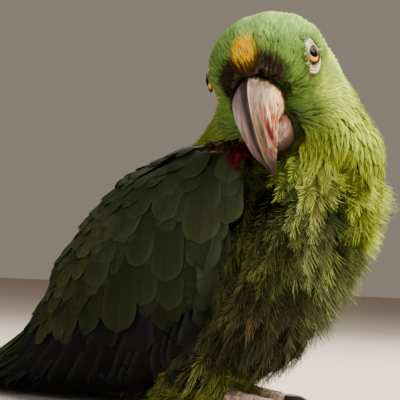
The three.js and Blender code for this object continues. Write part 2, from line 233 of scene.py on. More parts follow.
def melt(piece, voxel, smooth):
    """One closed surface round all that the mesh holds, then smoothed."""
    make_active(piece)
    remesh = piece.modifiers.new("melt", "REMESH")
    remesh.mode = "VOXEL"
    remesh.voxel_size = voxel * MM
    bpy.ops.object.modifier_apply(modifier=remesh.name)
    soften = piece.modifiers.new("soften", "SMOOTH")
    soften.factor = 0.5
    soften.iterations = smooth
    bpy.ops.object.modifier_apply(modifier=soften.name)
    print(piece.name, "has", len(piece.data.polygons), "faces")
    return piece


def points_of(mesh):
    flat = np.empty(len(mesh.vertices) * 3, np.float32)
    mesh.vertices.foreach_get("co", flat)
    return flat.reshape(-1, 3).astype(float) / MM - ORIGIN


def normals_of(mesh):
    flat = np.empty(len(mesh.vertices) * 3, np.float32)
    mesh.vertex_normals.foreach_get("vector", flat)
    return flat.reshape(-1, 3).astype(float)


def move_points(mesh, points):
    mesh.vertices.foreach_set("co", to_world(points).astype(np.float32).ravel())
    mesh.update()


def set_tint(mesh, colours):
    """Keeps a colour on each point, for the materials to read."""
    layer = mesh.color_attributes.new("tint", "FLOAT_COLOR", "POINT")
    flat = np.ones((len(mesh.vertices), 4), np.float32)
    flat[:, :3] = colours
    layer.data.foreach_set("color", flat.ravel())


FORM_FLESH = HEAD_FLESH + TRUNK_FLESH + ["thigh_right", "thigh_left"] + REMIGES
form = melt(grown_copies("form", FORM_FLESH, GROW), COARSE, 6)
skin = melt(grown_copies("skin", HEAD_FLESH + TRUNK_FLESH + LEG_FLESH, GROW), FINE, 5)

# %% [markdown]
# Feathers grow from the skin and lie back from the bill over the head, down
# the neck and along the body to the tail. A guide finds the nearest point and
# the smooth normal of a surface, the lie gives the direction at any point,
# and a feather's midline is a short walk along the surface in that direction.

# %% Guides
def numbered_by_place(points, normals, loops):
    """The same surface with its points and faces numbered by where they lie."""
    order = np.lexsort(points.round(4).T)
    number = np.empty(len(order), int)
    number[order] = np.arange(len(order))
    renamed = [tuple(number[list(loop)].tolist()) for loop in loops]
    firsts = [loop.index(min(loop)) for loop in renamed]
    loops = sorted(loop[first:] + loop[:first] for loop, first in zip(renamed, firsts))
    return points[order], normals[order], loops


class Guide:
    """A closed surface that feathers are laid on. Blender's extrude may number a mesh's
    faces in another order on each run, so by_place numbers them by where they lie."""

    def __init__(self, mesh, by_place=False):
        points, normals = points_of(mesh), normals_of(mesh)
        loops = [tuple(face.vertices) for face in mesh.polygons]
        if by_place:
            points, normals, loops = numbered_by_place(points, normals, loops)
        # A triangle's last corner counts twice, so that every face has four.
        corners = np.array([(loop + loop[-1:])[:4] for loop in loops])
        self.tree = BVHTree.FromPolygons(points.tolist(), corners.tolist())
        self.corners = points[corners]
        self.middles = self.corners.mean(1)
        self.normals = unit(normals[corners].mean(1))
        first, second, third, fourth = self.corners.transpose(1, 0, 2)
        across = np.cross(third - first, fourth - second)
        self.areas = np.linalg.norm(across, axis=1) / 2

    def settle(self, points):
        """The nearest surface points, their normals and their faces."""
        found = [self.tree.find_nearest(point) for point in points.tolist()]
        places = np.array([hit[0] for hit in found])
        faces = np.array([hit[2] for hit in found])
        return places, self.normals[faces], faces

    def distance(self, points):
        return np.array([self.tree.find_nearest(point)[3] for point in points.tolist()])


def node_guide(nodes):
    piece = grown_copies("node_guide", nodes, 0.0)
    guide = Guide.__new__(Guide)
    faces = [tuple(face.vertices) for face in piece.data.polygons]
    guide.tree = BVHTree.FromPolygons(points_of(piece.data).tolist(), faces)
    bpy.data.objects.remove(piece)
    return guide


def scatter(guide, spacing, keep, seed):
    """Evenly spread random points on a guide, where keep(points) is above zero."""
    rng = np.random.default_rng(seed)
    weights = guide.areas * np.clip(keep(guide.middles), 0.0, 1.0)
    tries = int(weights.sum() / spacing**2 * 5)
    faces = rng.choice(len(weights), tries, p=weights / weights.sum())
    mix = rng.random((tries, 4)) + 0.02
    spots = (guide.corners[faces] * (mix / mix.sum(1, keepdims=True))[..., None]).sum(1)
    taken, kept = {}, []
    near = [(a, b, c) for a in (-1, 0, 1) for b in (-1, 0, 1) for c in (-1, 0, 1)]
    cells_of_spots = np.floor(spots / spacing).astype(int).tolist()
    for index, (cell, spot) in enumerate(zip(cells_of_spots, spots.tolist())):
        close = False
        for a, b, c in near:
            for other in taken.get((cell[0] + a, cell[1] + b, cell[2] + c), ()):
                if sum((p - q) ** 2 for p, q in zip(spot, other)) < spacing**2:
                    close = True
                    break
            if close:
                break
        if not close:
            taken.setdefault(tuple(cell), []).append(spot)
            kept.append(index)
    return spots[kept]


# %% The lie of the coat
BODY_LINE = np.array([  # from the crown down the back to the tail's end
    [1, 0, 138], [2, 0, 126], [5, 0, 116], [7, 0, 105], [5, 0, 94], [-4, 0, 82], [-15, 0, 68],
    [-27, 0, 53], [-38, 0, 38], [-52, 0, 24], [-72, 0, 12], [-100, 0, 8], [-140, 0, 8]], float)
BILL_ROOT = np.array([24.0, 0.0, -8.0])


def fine_line(points, count):
    steps = np.concatenate([[0], np.cumsum(np.linalg.norm(np.diff(points, axis=0), axis=1))])
    places = np.linspace(0, steps[-1], count)
    return np.stack([np.interp(places, steps, points[:, k]) for k in range(3)], 1)


body_line = fine_line(BODY_LINE, 80)
body_heading = unit(np.gradient(body_line, axis=0))


def along_body(points):
    """The body's own direction beside each point, and how far along it is, 0 to 1."""
    apart = ((points[:, None, :] - body_line[None]) ** 2).sum(2)
    weights = np.exp(-(apart - apart.min(1, keepdims=True)) / 160.0)
    weights /= weights.sum(1, keepdims=True)
    return unit(weights @ body_heading), weights @ np.linspace(0, 1, len(body_line))


def headness(points):
    """1 on the head, 0 on the body, smooth between."""
    local = to_head(points) / np.array([27.0, 24.0, 25.0])
    return 1 - ramp(np.linalg.norm(local - [0, 0, 0.05], axis=1), 0.95, 1.30)


def lie(points):
    away = unit(to_head(points) - BILL_ROOT) @ HEAD_AXES.T
    down = along_body(points)[0]
    share = headness(points)[:, None]
    return unit(away * share + down * (1 - share))


def lay(guide, roots, headings, lengths, steps, follow=None):
    """Walks from each root over the guide; gives the points and normals passed."""
    spots, ups, _ = guide.settle(roots)
    ahead = unit(headings - (headings * ups).sum(1, keepdims=True) * ups)
    path, normals = [spots], [ups]
    stride = (np.broadcast_to(lengths, len(roots)) / steps)[:, None]
    for _ in range(steps):
        spots, ups, _ = guide.settle(spots + ahead * stride)
        if follow is not None:
            ahead = ahead * 0.6 + follow(spots) * 0.4
        ahead = unit(ahead - (ahead * ups).sum(1, keepdims=True) * ups)
        path.append(spots)
        normals.append(ups)
    return np.stack(path, 1), np.stack(normals, 1)


def drape(path, normals, rows, across, along, high):
    """Bends flat feather shapes onto their paths. Across and high are in mm,
    along runs from 0 at the root to 1 at the path's end and may go past it."""
    steps = path.shape[1] - 1
    place = np.clip(along, 0, None) * steps
    low = np.clip(np.floor(place).astype(int), 0, steps - 1)
    part = (place - low)[..., None]
    rows = rows.reshape((-1,) + (1,) * (across.ndim - 1))
    start, stop = path[rows, low], path[rows, low + 1]
    bent = np.clip(part, 0, 1)
    up = unit(normals[rows, low] * (1 - bent) + normals[rows, low + 1] * bent)
    side = unit(np.cross(up, stop - start))
    return start + (stop - start) * part + side * across[..., None] + up * high[..., None]


body_guide = Guide(form.data)
print("guide area", round(body_guide.areas.sum() / 100), "square centimetres")

# %% [markdown]
# Each feather is a lattice of points: rows along the shaft, columns across the
# vane. A coat gathers its lattices in arrays and turns them into one mesh.
# Every point carries its colour, its place on the vane for the barb pattern,
# and a spot on the skin's own unwrap that the bake uses.

# %% An unwrap of the skin
def skin_unwrap():
    """A coarse copy of the skin, unwrapped, to look up a place for each root."""
    piece = skin.copy()
    piece.data = skin.data.copy()
    piece.name = "unwrap"
    bpy.context.scene.collection.objects.link(piece)
    melt(piece, 4.5, 2)
    make_active(piece)
    split = piece.modifiers.new("split", "TRIANGULATE")
    bpy.ops.object.modifier_apply(modifier=split.name)
    bpy.ops.object.mode_set(mode="EDIT")
    bpy.ops.mesh.select_all(action="SELECT")
    bpy.ops.uv.smart_project(angle_limit=math.radians(60), island_margin=0.01)
    bpy.ops.object.mode_set(mode="OBJECT")
    mesh = piece.data
    points = points_of(mesh)
    faces = np.array([tuple(face.vertices) for face in mesh.polygons])
    flat = np.empty(len(mesh.loops) * 2, np.float32)
    mesh.uv_layers.active.data.foreach_get("uv", flat)
    flat = flat.reshape(-1, 3, 2).astype(float)
    tree = BVHTree.FromPolygons(points.tolist(), faces.tolist())
    bpy.data.objects.remove(piece)
    return tree, points[faces], flat


unwrap_tree, unwrap_corners, unwrap_uvs = skin_unwrap()
PATCH = 0.003     # side of one feather's patch on the unwrap


def patch_places(roots):
    """The spot on the unwrap that belongs to each root."""
    hits = [unwrap_tree.find_nearest(root) for root in roots.tolist()]
    face = np.array([hit[2] for hit in hits])
    spot = np.array([hit[0] for hit in hits])
    a, b, c = (unwrap_corners[face, k] for k in range(3))
    whole = np.cross(b - a, c - a)
    size = np.maximum((whole**2).sum(1), 1e-9)
    at_b = (np.cross(spot - a, c - a) * whole).sum(1) / size
    at_c = (np.cross(b - a, spot - a) * whole).sum(1) / size
    mix = np.stack([1 - at_b - at_c, at_b, at_c], 1)
    return (unwrap_uvs[face] * mix[..., None]).sum(1)


# %% The coat builder
COAT_LIMIT = 200_000
FLOOR_GAP = 0.15  # no feather hangs lower than this


class Coat:
    """Lattices of feather points, joined into one mesh."""

    def __init__(self, name, material, slot):
        self.name, self.material, self.slot = name, material, slot
        self.points, self.tints, self.barbs, self.patches, self.faces = [], [], [], [], []
        self.count = 0

    def add(self, grid, tint, barb, roots, closed=False):
        """Grid is feathers x rows x columns x 3. Closed joins the last column to the first."""
        feathers, rows, columns = grid.shape[:3]
        shape = (feathers, rows, columns)
        number = np.arange(feathers * rows * columns).reshape(shape) + self.count
        self.count += number.size
        after = np.roll(number, -1, axis=2) if closed else number[:, :, 1:]
        before = number if closed else number[:, :, :-1]
        quads = np.stack([before[:, :-1], before[:, 1:], after[:, 1:], after[:, :-1]], -1)
        if closed:
            grid = grid.copy()
            for end in (0, -1):
                grid[:, end] = grid[:, end].mean(1, keepdims=True)
        down, over = np.meshgrid(np.linspace(0, 1, rows), np.linspace(0, 1, columns), indexing="ij")
        inside = np.stack([over, down], -1)[None] * PATCH
        self.faces.append(quads.reshape(-1, 4))
        self.points.append(grid.reshape(-1, 3))
        self.tints.append(np.broadcast_to(tint, shape + (3,)).reshape(-1, 3))
        self.barbs.append(np.broadcast_to(barb, shape + (2,)).reshape(-1, 2))
        places = patch_places(roots) if len(roots) == feathers else roots
        self.patches.append((places[:, None, None] + inside).reshape(-1, 2))

    def finish(self):
        points, faces = np.concatenate(self.points), np.concatenate(self.faces)
        points[:, 2] = np.maximum(points[:, 2], FLOOR_GAP)
        mesh = bpy.data.meshes.new(self.name)
        mesh.vertices.add(len(points))
        mesh.vertices.foreach_set("co", to_world(points).astype(np.float32).ravel())
        mesh.loops.add(faces.size)
        mesh.loops.foreach_set("vertex_index", faces.astype(np.int32).ravel())
        mesh.polygons.add(len(faces))
        mesh.polygons.foreach_set("loop_start", np.arange(0, faces.size, 4, dtype=np.int32))
        mesh.update(calc_edges=True)
        mesh.polygons.foreach_set("use_smooth", np.ones(len(faces), bool))
        for name, values in (("OFBake", self.patches), ("barb", self.barbs)):
            layer = mesh.uv_layers.new(name=name)
            flat = np.concatenate(values)[faces.ravel()]
            layer.data.foreach_set("uv", flat.astype(np.float32).ravel())
        set_tint(mesh, np.concatenate(self.tints))
        mesh.materials.append(self.material)
        mesh.validate()
        piece = bpy.data.objects.new(self.name, mesh)
        bpy.context.scene.collection.objects.link(piece)
        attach(piece, "root")
        print(f"{self.name}: {2 * len(faces)} triangles")
        assert 2 * len(faces) < COAT_LIMIT, self.name
        return piece

# %% [markdown]
# The soft coat is painted by region, in the head's axes for the face and by
# place on the body for the rest, with painted shade in its folds and hollows.
# The skin and the small feathers ask the same function, so the markings agree.
# Wings and tail have colours of their own.

# %% Markings and painted shade
def shade(red, green, blue):
    """A screen colour, 0 to 255, as linear light."""
    value = np.array([red, green, blue]) / 255
    return np.where(value <= 0.04045, value / 12.92, ((value + 0.055) / 1.055) ** 2.4)


CROWN = shade(136, 174, 92)
FACE = shade(110, 142, 66)
CHIN = shade(112, 138, 66)
NAPE = shade(182, 202, 74)
NECK_SIDE = shade(146, 160, 54)
YELLOW = shade(246, 196, 0)
THROAT = shade(172, 184, 84)
BREAST = shade(74, 80, 46)
BELLY = shade(54, 56, 38)
RUSTY = shade(58, 44, 30)
VENT = shade(94, 96, 38)
BACK = shade(60, 72, 38)
# The wing's green is darker than its feathers' own colour: partly painted shade.
WING = shade(42, 50, 31)
REMEX = shade(14, 15, 17)
DUSKY_FACE = shade(46, 38, 28)
BEND_RED = shade(74, 15, 22)
TAIL_GREEN = shade(50, 72, 30)
TAIL_END = shade(78, 94, 36)


WING_FRONT = np.array([[4, 92], [4.5, 84], [3.5, 74], [1, 63], [-3, 53], [-7, 43], [-13, 28],
                       [-26, 15], [-44, 7]])


def edge_x(edge, z):
    """How far forward an edge of the wing lies at a height."""
    return np.interp(z, edge[::-1, 1], edge[::-1, 0])


def waves(points, size, seed, octaves=3):
    """Smooth random values near -1 to 1 that change over about size mm."""
    rng = np.random.default_rng(seed)
    total = np.zeros(len(points))
    for octave in range(octaves):
        for _ in range(6):
            way = unit(rng.standard_normal(points.shape[1]))
            way = way * 2 * math.pi / (size * rng.uniform(0.7, 1.4))
            total += np.sin(points @ way * 2**octave + rng.random() * 6.3) / 2**octave
    return total / 4.5


def blend(colours, target, weight):
    return colours + (target - colours) * weight[:, None]


def blob(points, middle, radii):
    return np.exp(-(((points - middle) / radii) ** 2).sum(1))


def hump(values, middle, width, power=2):
    """1 at the middle, falling off smoothly to both sides."""
    return np.exp(-(((values - middle) / width) ** power))


def paint(base, *layers):
    """Lays layers over a base. Each is a screen colour, or a factor that darkens, and a share."""
    for colour, share in layers:
        target = shade(*colour) if isinstance(colour, tuple) else base * colour
        base = blend(base, target, share)
    return base


def dusky_share(points):
    """1 on the dark bristly patch round the root of the bill."""
    local = (to_head(points) - [24.0, -2.0, 1.6]) / [8.0, 13.0, 9.6]
    return 1 - ramp(np.linalg.norm(local, axis=1), 0.80, 1.15)


CREASE = np.array([[36, -20, 88], [35.5, -19.6, 83], [34.9, -19.1, 74.6], [35.5, -14.8, 66.4],
                   [34, -8, 58]], float)


def by_crease(points):
    """How far each point is from the fold, and how far to its left."""
    line = fine_line(CREASE, 40)
    away = points[:, None, :] - line[None]
    far = np.sqrt((away**2).sum(2))
    nearest = far.argmin(1)
    each = np.arange(len(points))
    return far[each, nearest], away[each, nearest, 1]


def crease_share(points):
    """1 in the fold that parts the throat from the side of the neck."""
    return np.exp(-((by_crease(points)[0] / 3.4) ** 2))


def crest_share(points):
    """1 on the pale feather ends that stand along the fold's near side."""
    far, left = by_crease(points)
    return np.exp(-(((far - 5.0) / 2.4) ** 2)) * (left < -1) * (points[:, 2] < 92)


BRIGHT_LOCKS = np.array([  # middles of the pale locks on the breast
    [23.8, -27.2, 70.5], [24.1, -24.6, 63.9], [20.8, -24.8, 57.0], [15.2, -28.7, 55.0],
    [5.3, -34.0, 65.3], [9.0, -32.0, 60.0], [25.0, -26.0, 77.0]])


def plumage(points):
    """The colour of the coat where a feather has its root, painted shade included."""
    local = to_head(points)
    x, y, z = points.T
    head = headness(points)
    colours = np.tile(BREAST, (len(points), 1))
    # Darker towards the belly: partly painted shade on the lower body.
    colours = blend(colours, BELLY, 1 - ramp(z, 34, 58))
    colours = blend(colours, RUSTY, 0.8 * blob(points, [6, -30, 42], [9, 16, 6]))
    colours = blend(colours, VENT, (1 - ramp(z, 10, 30)) * (1 - ramp(x, -6, 6)))
    colours = blend(colours, THROAT, np.clip(1.7 * blob(points, [26, -26, 88], [8, 14, 6]), 0, 1))
    side = ramp(x, 31, 37) * ramp(z, 56, 68)
    colours = blend(colours, NECK_SIDE, np.maximum(side, ramp(z, 84, 92)))
    # Painted light and shade: the neck's side is darker on its near side and lighter towards its outline.
    colours = blend(colours, colours * 0.66, side * (1 - ramp(y, -12, 4)))
    colours = blend(colours, NAPE, ramp(z, 92, 104) * ramp(x + y, -6, 14))
    colours = blend(colours, colours * 0.75, ramp(y, 4, 18) * ramp(z, 76, 92))
    colours = blend(colours, BACK, (1 - ramp(x, -34, -16)) * ramp(z, 20, 60))
    ahead = x - edge_x(WING_FRONT, z)
    shaded = (1 - ramp(ahead, 9, 21)) * ramp(z, 44, 62) * (1 - ramp(z, 90, 95)) * (y < 0)
    colours = blend(colours, colours * 0.22, shaded)
    bulge = blob(points, [41, -9, 72], [8, 12, 6])
    colours = blend(colours, colours * 0.45, bulge)
    face = blend(np.tile(FACE, (len(points), 1)), CROWN, ramp(local[:, 2], 8, 17))
    face = blend(face, CHIN, 1 - ramp(local[:, 2], -18, -8))
    behind = np.maximum(1 - ramp(local[:, 0], -14, 2), blob(local, [3, 21, -11], [6, 9, 7]))
    face = blend(face, NAPE, behind)
    # Darker by the gape: dusky feathers with painted shade.
    face = blend(face, face * 0.30, np.clip(1.3 * blob(local, [18, 6.5, -14], [6, 6, 8]), 0, 1))
    spot = np.clip(5.0 * blob(local, [23.0, -1.8, 10.8], [8, 2.5, 3.0]), 0, 1)
    face = blend(face, DUSKY_FACE, dusky_share(points))
    face = blend(face, YELLOW, spot)
    # Painted shade in the fold.
    colours = blend(colours, colours * 0.35, crease_share(points))
    colours = blend(colours, THROAT, 0.45 * crest_share(points))
    for middle in BRIGHT_LOCKS:
        colours = blend(colours, THROAT, 0.5 * blob(points, middle, [3.4, 3.4, 3.4]))
    colours = colours + (face - colours) * head[:, None]
    # Painted shadow under the cheek and the bill.
    return blend(colours, colours * 0.35, 1.15 * blob(points, [28, -23, 100], [8, 10, 9]))

# %% [markdown]
# A feather's surface is a comb of fine barbs that leave the shaft slantwise.
# One shader group draws them from the vane's own millimetres, and every coat
# material mixes that pattern into its own colour and bump.

# %% Shader helpers
def node(tree, kind, **settings):
    made = tree.nodes.new(kind)
    for key, value in settings.items():
        setattr(made, key, value)
    return made


def wire(tree, source, output, target, place):
    tree.links.new(source.outputs[output], target.inputs[place])


def maths(tree, operation, *values):
    """A Math node; each input is a number or a (node, output) pair."""
    made = node(tree, "ShaderNodeMath", operation=operation)
    for place, value in enumerate(values):
        if isinstance(value, tuple):
            wire(tree, value[0], value[1], made, place)
        else:
            made.inputs[place].default_value = value
    return made, 0


def noise(tree, scale, detail, place, output=0):
    """Cloudy values in 0 to 1, read at the place that a node's output gives."""
    made = node(tree, "ShaderNodeTexNoise")
    if scale is not None:
        made.inputs["Scale"].default_value = scale
    made.inputs["Detail"].default_value = detail
    wire(tree, place, output, made, "Vector")
    return made


def paint_tint(tree, surface, level):
    """Base Color from the points' tint, made lighter and darker by the level."""
    tint = node(tree, "ShaderNodeAttribute", attribute_name="tint")
    mix = node(tree, "ShaderNodeVectorMath", operation="SCALE")
    wire(tree, tint, "Color", mix, 0)
    wire(tree, *level, mix, "Scale")
    wire(tree, mix, 0, surface, "Base Color")


def add_bump(tree, surface, height, strength, distance):
    bump = node(tree, "ShaderNodeBump")
    bump.inputs["Strength"].default_value = strength
    bump.inputs["Distance"].default_value = distance
    wire(tree, *height, bump, "Height")
    wire(tree, bump, 0, surface, "Normal")


def new_group(name, inputs, outputs):
    group = bpy.data.node_groups.new(name, "ShaderNodeTree")
    for label, kind, value in inputs:
        socket = group.interface.new_socket(label, in_out="INPUT", socket_type=kind)
        if value is not None:
            socket.default_value = value
    for label, kind in outputs:
        group.interface.new_socket(label, in_out="OUTPUT", socket_type=kind)
    return group, group.nodes.new("NodeGroupInput"), group.nodes.new("NodeGroupOutput")


SHAFT_HALF = 0.22   # half width of the drawn shaft


def barb_group():
    group, entry, leave = new_group(
        "barb_lines",
        [("Place", "NodeSocketVector", None), ("Spacing", "NodeSocketFloat", 0.45),
         ("Slant", "NodeSocketFloat", 1.0)],
        [("Lines", "NodeSocketFloat"), ("Shaft", "NodeSocketFloat")],
    )
    parts = node(group, "ShaderNodeSeparateXYZ")
    wire(group, entry, "Place", parts, 0)
    off = maths(group, "ABSOLUTE", (parts, 0))
    rise = maths(group, "SUBTRACT", (parts, 1), maths(group, "MULTIPLY", off, (entry, "Slant")))
    turns = maths(group, "DIVIDE", rise, (entry, "Spacing"))
    wave = maths(group, "SINE", maths(group, "MULTIPLY", turns, 2 * math.pi))
    wire(group, *maths(group, "MULTIPLY_ADD", wave, 0.5, 0.5), leave, "Lines")
    wire(group, *maths(group, "LESS_THAN", off, SHAFT_HALF), leave, "Shaft")
    return group


barb_lines = barb_group()


def feather_material(name, roughness, depth, spacing, shaft, gloss=0.10):
    """Tint from the coat, barb lines that vary it a little, and a dark or pale shaft."""
    material, tree, surface = new_material(name, {"Roughness": roughness, "Specular IOR Level": gloss})
    place = node(tree, "ShaderNodeUVMap", uv_map="barb")
    lines = node(tree, "ShaderNodeGroup", node_tree=barb_lines)
    lines.inputs["Spacing"].default_value = spacing
    wire(tree, place, 0, lines, "Place")
    mottle = noise(tree, 420.0, 3.0, node(tree, "ShaderNodeTexCoord"), "Object")
    level = maths(tree, "MULTIPLY_ADD", (lines, "Lines"), depth, 1.0 - depth * 0.6)
    level = maths(tree, "MULTIPLY", level, maths(tree, "MULTIPLY_ADD", (mottle, 0), 0.5, 0.75))
    quill = maths(tree, "MULTIPLY_ADD", (lines, "Shaft"), shaft, 1.0)
    paint_tint(tree, surface, maths(tree, "MULTIPLY", level, quill))
    add_bump(tree, surface, (lines, "Lines"), 0.35, 0.0002)
    return material

# %% [markdown]
# Two shapes make every feather. The vane is a leaf with a rounded tip, a
# little crowned across. The fringe is a comb of loose barbs that leave the
# shaft slantwise and end free, which gives the soft edge of small feathers
# and most of a fluffed one.

# %% Vane and fringe
def leaf(t, widest, root):
    """Half-width along a vane, as a share of the widest: narrow, wide, round tip."""
    grow = root + (1 - root) * np.sin(np.clip(t / widest, 0, 1) * math.pi / 2)
    close = np.sqrt(np.clip(1 - np.clip((t - widest) / (1 - widest), 0, 1) ** 2.2, 0.01, 1))
    return grow * close


def tip_steps(rows):
    """Places along a vane, closer together towards the round tip."""
    return np.linspace(0, 1, rows) ** 0.85


def soft_vanes(coat, path, normals, lengths, widths, lift, tint, rng, rows=5, columns=4):
    """Small open vanes. Lift is the height at the root and at the tip, in mm."""
    count = len(path)
    t = tip_steps(rows)[None, :, None]
    s = np.linspace(-1, 1, columns)[None, None, :]
    half = widths[:, None, None] / 2 * leaf(t, 0.6, 0.5)
    across = half * s
    ragged = 0.02 * rng.standard_normal((count, 1, columns)) * t
    along = np.broadcast_to(t - 0.05 * s**2, across.shape) + ragged
    high = lift[0] + (lift[1] - lift[0]) * t + 0.18 * half * (1 - s**2)
    high = high * np.ones_like(across)
    grid = drape(path, normals, np.arange(count), across, along, high)
    glow = (0.55 + 0.5 * t) * np.ones_like(across)
    barb = np.stack([across, along * lengths[:, None, None]], -1)
    coat.add(grid, tint[:, None, None, :] * glow[..., None], barb, path[:, 0])


def fringes(coat, path, normals, lengths, widths, lift, tint, rng, barbs, steps, thick,
            start, stop, reach, spread, curl, dark, bright, flare=-0.45):
    """Loose barbs, each a thin ribbon. Flare below 0 bends them forward, above 0 outward."""
    count = len(path)
    rank = np.linspace(0, 1, barbs)
    side = np.where(np.arange(barbs) % 2, 1.0, -1.0)
    angle = np.radians(spread * (1 - rank) ** 0.8 + 4)
    angle = angle + np.radians(7) * rng.standard_normal((count, barbs))
    base = start + (stop - start) * rank + 0.03 * rng.standard_normal((count, barbs))
    size = reach * (0.8 + 0.45 * rng.random((count, barbs))) * (1 - 0.25 * rank)
    r = np.linspace(0, 1, steps + 1)[None, None, :]
    length = lengths[:, None, None]
    wide = widths[:, None, None] / 2
    swing = angle[..., None] * (1 + flare * r)
    ease = size[..., None] * r
    from_shaft = 0.12 * wide * (1 - rank[None, :, None])
    out = side[None, :, None] * (from_shaft + ease * wide * 1.9 * np.sin(swing))
    up_the_vane = base[..., None] + ease * np.cos(swing) * 0.62
    raise_end = curl * rng.random((count, barbs, 1)) * r**2 * wide
    height = lift[0] + (lift[1] - lift[0]) * np.clip(up_the_vane, 0, 1.2) + 0.15 + raise_end
    half = thick / 2 * (1 - 0.75 * r)
    tilt = np.arctan2(np.diff(out), np.diff(up_the_vane) * length)
    tilt = np.concatenate([tilt, tilt[..., -1:]], -1)
    edge = np.array([-1.0, 1.0])
    across = out[..., None] + (half * np.cos(tilt))[..., None] * edge
    along = up_the_vane[..., None] - (half * np.sin(tilt) / length)[..., None] * edge
    high = height[..., None] * np.ones_like(across)
    rows = np.repeat(np.arange(count), barbs)
    flat = (count * barbs, steps + 1, 2)
    grid = drape(path, normals, rows, across.reshape(flat), along.reshape(flat), high.reshape(flat))
    glow = (dark + (bright - dark) * r[..., None]) * (0.78 + 0.44 * rng.random((count, barbs, 1, 1)))
    glow = np.broadcast_to(glow, (count, barbs, steps + 1, 2)).reshape(flat)
    colours = tint[rows][:, None, None, :] * glow[..., None]
    beside_shaft = np.array([0.6, 0.0])
    coat.add(grid, colours, beside_shaft, patch_places(path[:, 0])[rows])

# %% [markdown]
# The skin is drawn in under the coat by the coat's depth: least on the head,
# more on the breast, and not at all on the bare feet. A deep fold parts the
# throat from the neck's side.

# %% Draw the skin in
bare_guide = node_guide([name for name in LEG_FLESH if "thigh" not in name])


def bareness(points):
    return 1 - ramp(bare_guide.distance(points), 0.3, 2.2)


def coat_depth(points):
    head = headness(points)
    depth = 3.4 + 1.4 * ramp(points[:, 0], 0, 25) * (1 - head)
    far = ramp(-to_head(points)[:, 1], 8, 18)
    depth = depth * (1 - head) + (1.8 + 0.6 * far) * head
    fold = 4.5 * crease_share(points) + 2.0 * blob(points, [44, 2, 76], [10, 16, 14])
    return depth * (1 - bareness(points)) + fold * (1 - head)


skin_points = points_of(skin.data)
depth = coat_depth(skin_points)
move_points(skin.data, skin_points - normals_of(skin.data) * depth[:, None])
melt(skin, FINE * 0.9, 1)
skin_guide = Guide(skin.data)
print("coat depth from", depth.min().round(2), "to", depth.max().round(2), "mm")

# %% [markdown]
# The head wears very small feathers, close and silky. Each is a narrow vane
# under a tuft of fine barbs that all run the same way. They grow larger from
# the bill back to the nape, and turn dark round the bill's root.

# %% The head's coat
NOSTRIL = np.array([25.3, 4.6, 3.7])     # forward, out from the bill's middle, up
FACE_MIDDLE = -1.6                       # the bill's own middle is a little to the right
LID_AXIS = unit(np.array([0.33, 0.94, 0.06]))   # the eye's opening looks a little forward
soft_feather = feather_material("soft_feather", 0.8, 0.12, 0.5, -0.05, gloss=0.0)


def vary(tint, rng, amount):
    """Feathers differ a little in brightness and in how yellow they are."""
    bright = np.exp(amount * rng.standard_normal((len(tint), 1)))
    warm = 1 + amount * 0.35 * rng.standard_normal((len(tint), 1)) * np.array([1.0, 0.1, -0.5])
    return tint * bright * warm


def from_nostril(points):
    local = to_head(points)
    local[:, 1] = np.abs(local[:, 1] - FACE_MIDDLE)
    return np.linalg.norm(local - NOSTRIL, axis=1)


def lid_axes(side):
    out = LID_AXIS * [1, side, 1]
    up = unit(np.array([0.0, 0.0, 1.0]) - out * out[2])
    return np.cross(out, up) * side, up, out


def eye_middle(side):
    return np.array([EYE_IN_HEAD[0], side * EYE_IN_HEAD[1], EYE_IN_HEAD[2]])


def lid_place(points, side):
    """Forward, up and out from the middle of an eye."""
    away = to_head(points) - eye_middle(side)
    return [away @ axis for axis in lid_axes(side)]


def eye_clear(points):
    """1 at the edge of the bare ring round an eye, more outside it."""
    nearest = np.full(len(points), 9.0)
    for side in (-1, 1):
        ahead, up, out = lid_place(points, side)
        front, tall = 0.91 * ahead + 0.42 * up, 0.91 * up - 0.42 * ahead
        size = np.hypot(front / np.where(front > 0, 3.9 + 0.9 * side, 5.6), tall / 6.5)
        nearest = np.minimum(nearest, np.where(out > 0, size, 9.0))
    return nearest


def head_coat(name, side, seed):
    rng = np.random.default_rng(seed)
    coat = Coat(name, soft_feather, "plumage_green")
    keep = lambda p: ((headness(p) > 0.25) * (eye_clear(p) > 1) * (side * to_head(p)[:, 1] > 0)
                      * (from_nostril(p) > 1.9))
    roots = scatter(skin_guide, 0.95, keep, seed + 1)
    back = ramp(-to_head(roots)[:, 0], -20, 16)
    bristly = dusky_share(roots)
    by_eye = 1 - ramp(eye_clear(roots), 1.0, 1.7)
    by_nostril = 1 - ramp(from_nostril(roots), 2.0, 5.0)
    short = 1 - 0.15 * bristly - 0.55 * by_eye - 0.35 * by_nostril
    lengths = (3.8 + 2.8 * back) * short * (0.8 + 0.4 * rng.random(len(roots)))
    widths = (1.9 + 1.3 * back) * (1 - 0.3 * bristly - 0.3 * by_eye)
    jitter = 0.10 * rng.standard_normal((len(roots), 3))
    path, normals = lay(skin_guide, roots, unit(lie(roots) + jitter), lengths, 3, lie)
    tint = vary(plumage(path[:, 1]), rng, 0.14)
    lift = (0.1, (1.3 * (1 - 0.5 * by_eye))[:, None, None])
    soft_vanes(coat, path, normals, lengths, widths * 0.7, (0.1, 0.9), tint * 0.7, rng,
               rows=4, columns=3)
    fringes(coat, path, normals, lengths, widths, lift, tint, rng, barbs=11, steps=3, thick=0.24,
            start=0.0, stop=0.60, reach=0.72, spread=20, curl=0.30, dark=0.55, bright=1.3)
    return coat.finish()


head_coat("head_coat_right", -1, 11)
head_coat("head_coat_left", 1, 15)

# %% [markdown]
# Between the fine feathers of the dark face stand sparse bristles. They lie
# loosely, some across the others, so each gets a heading with much chance.

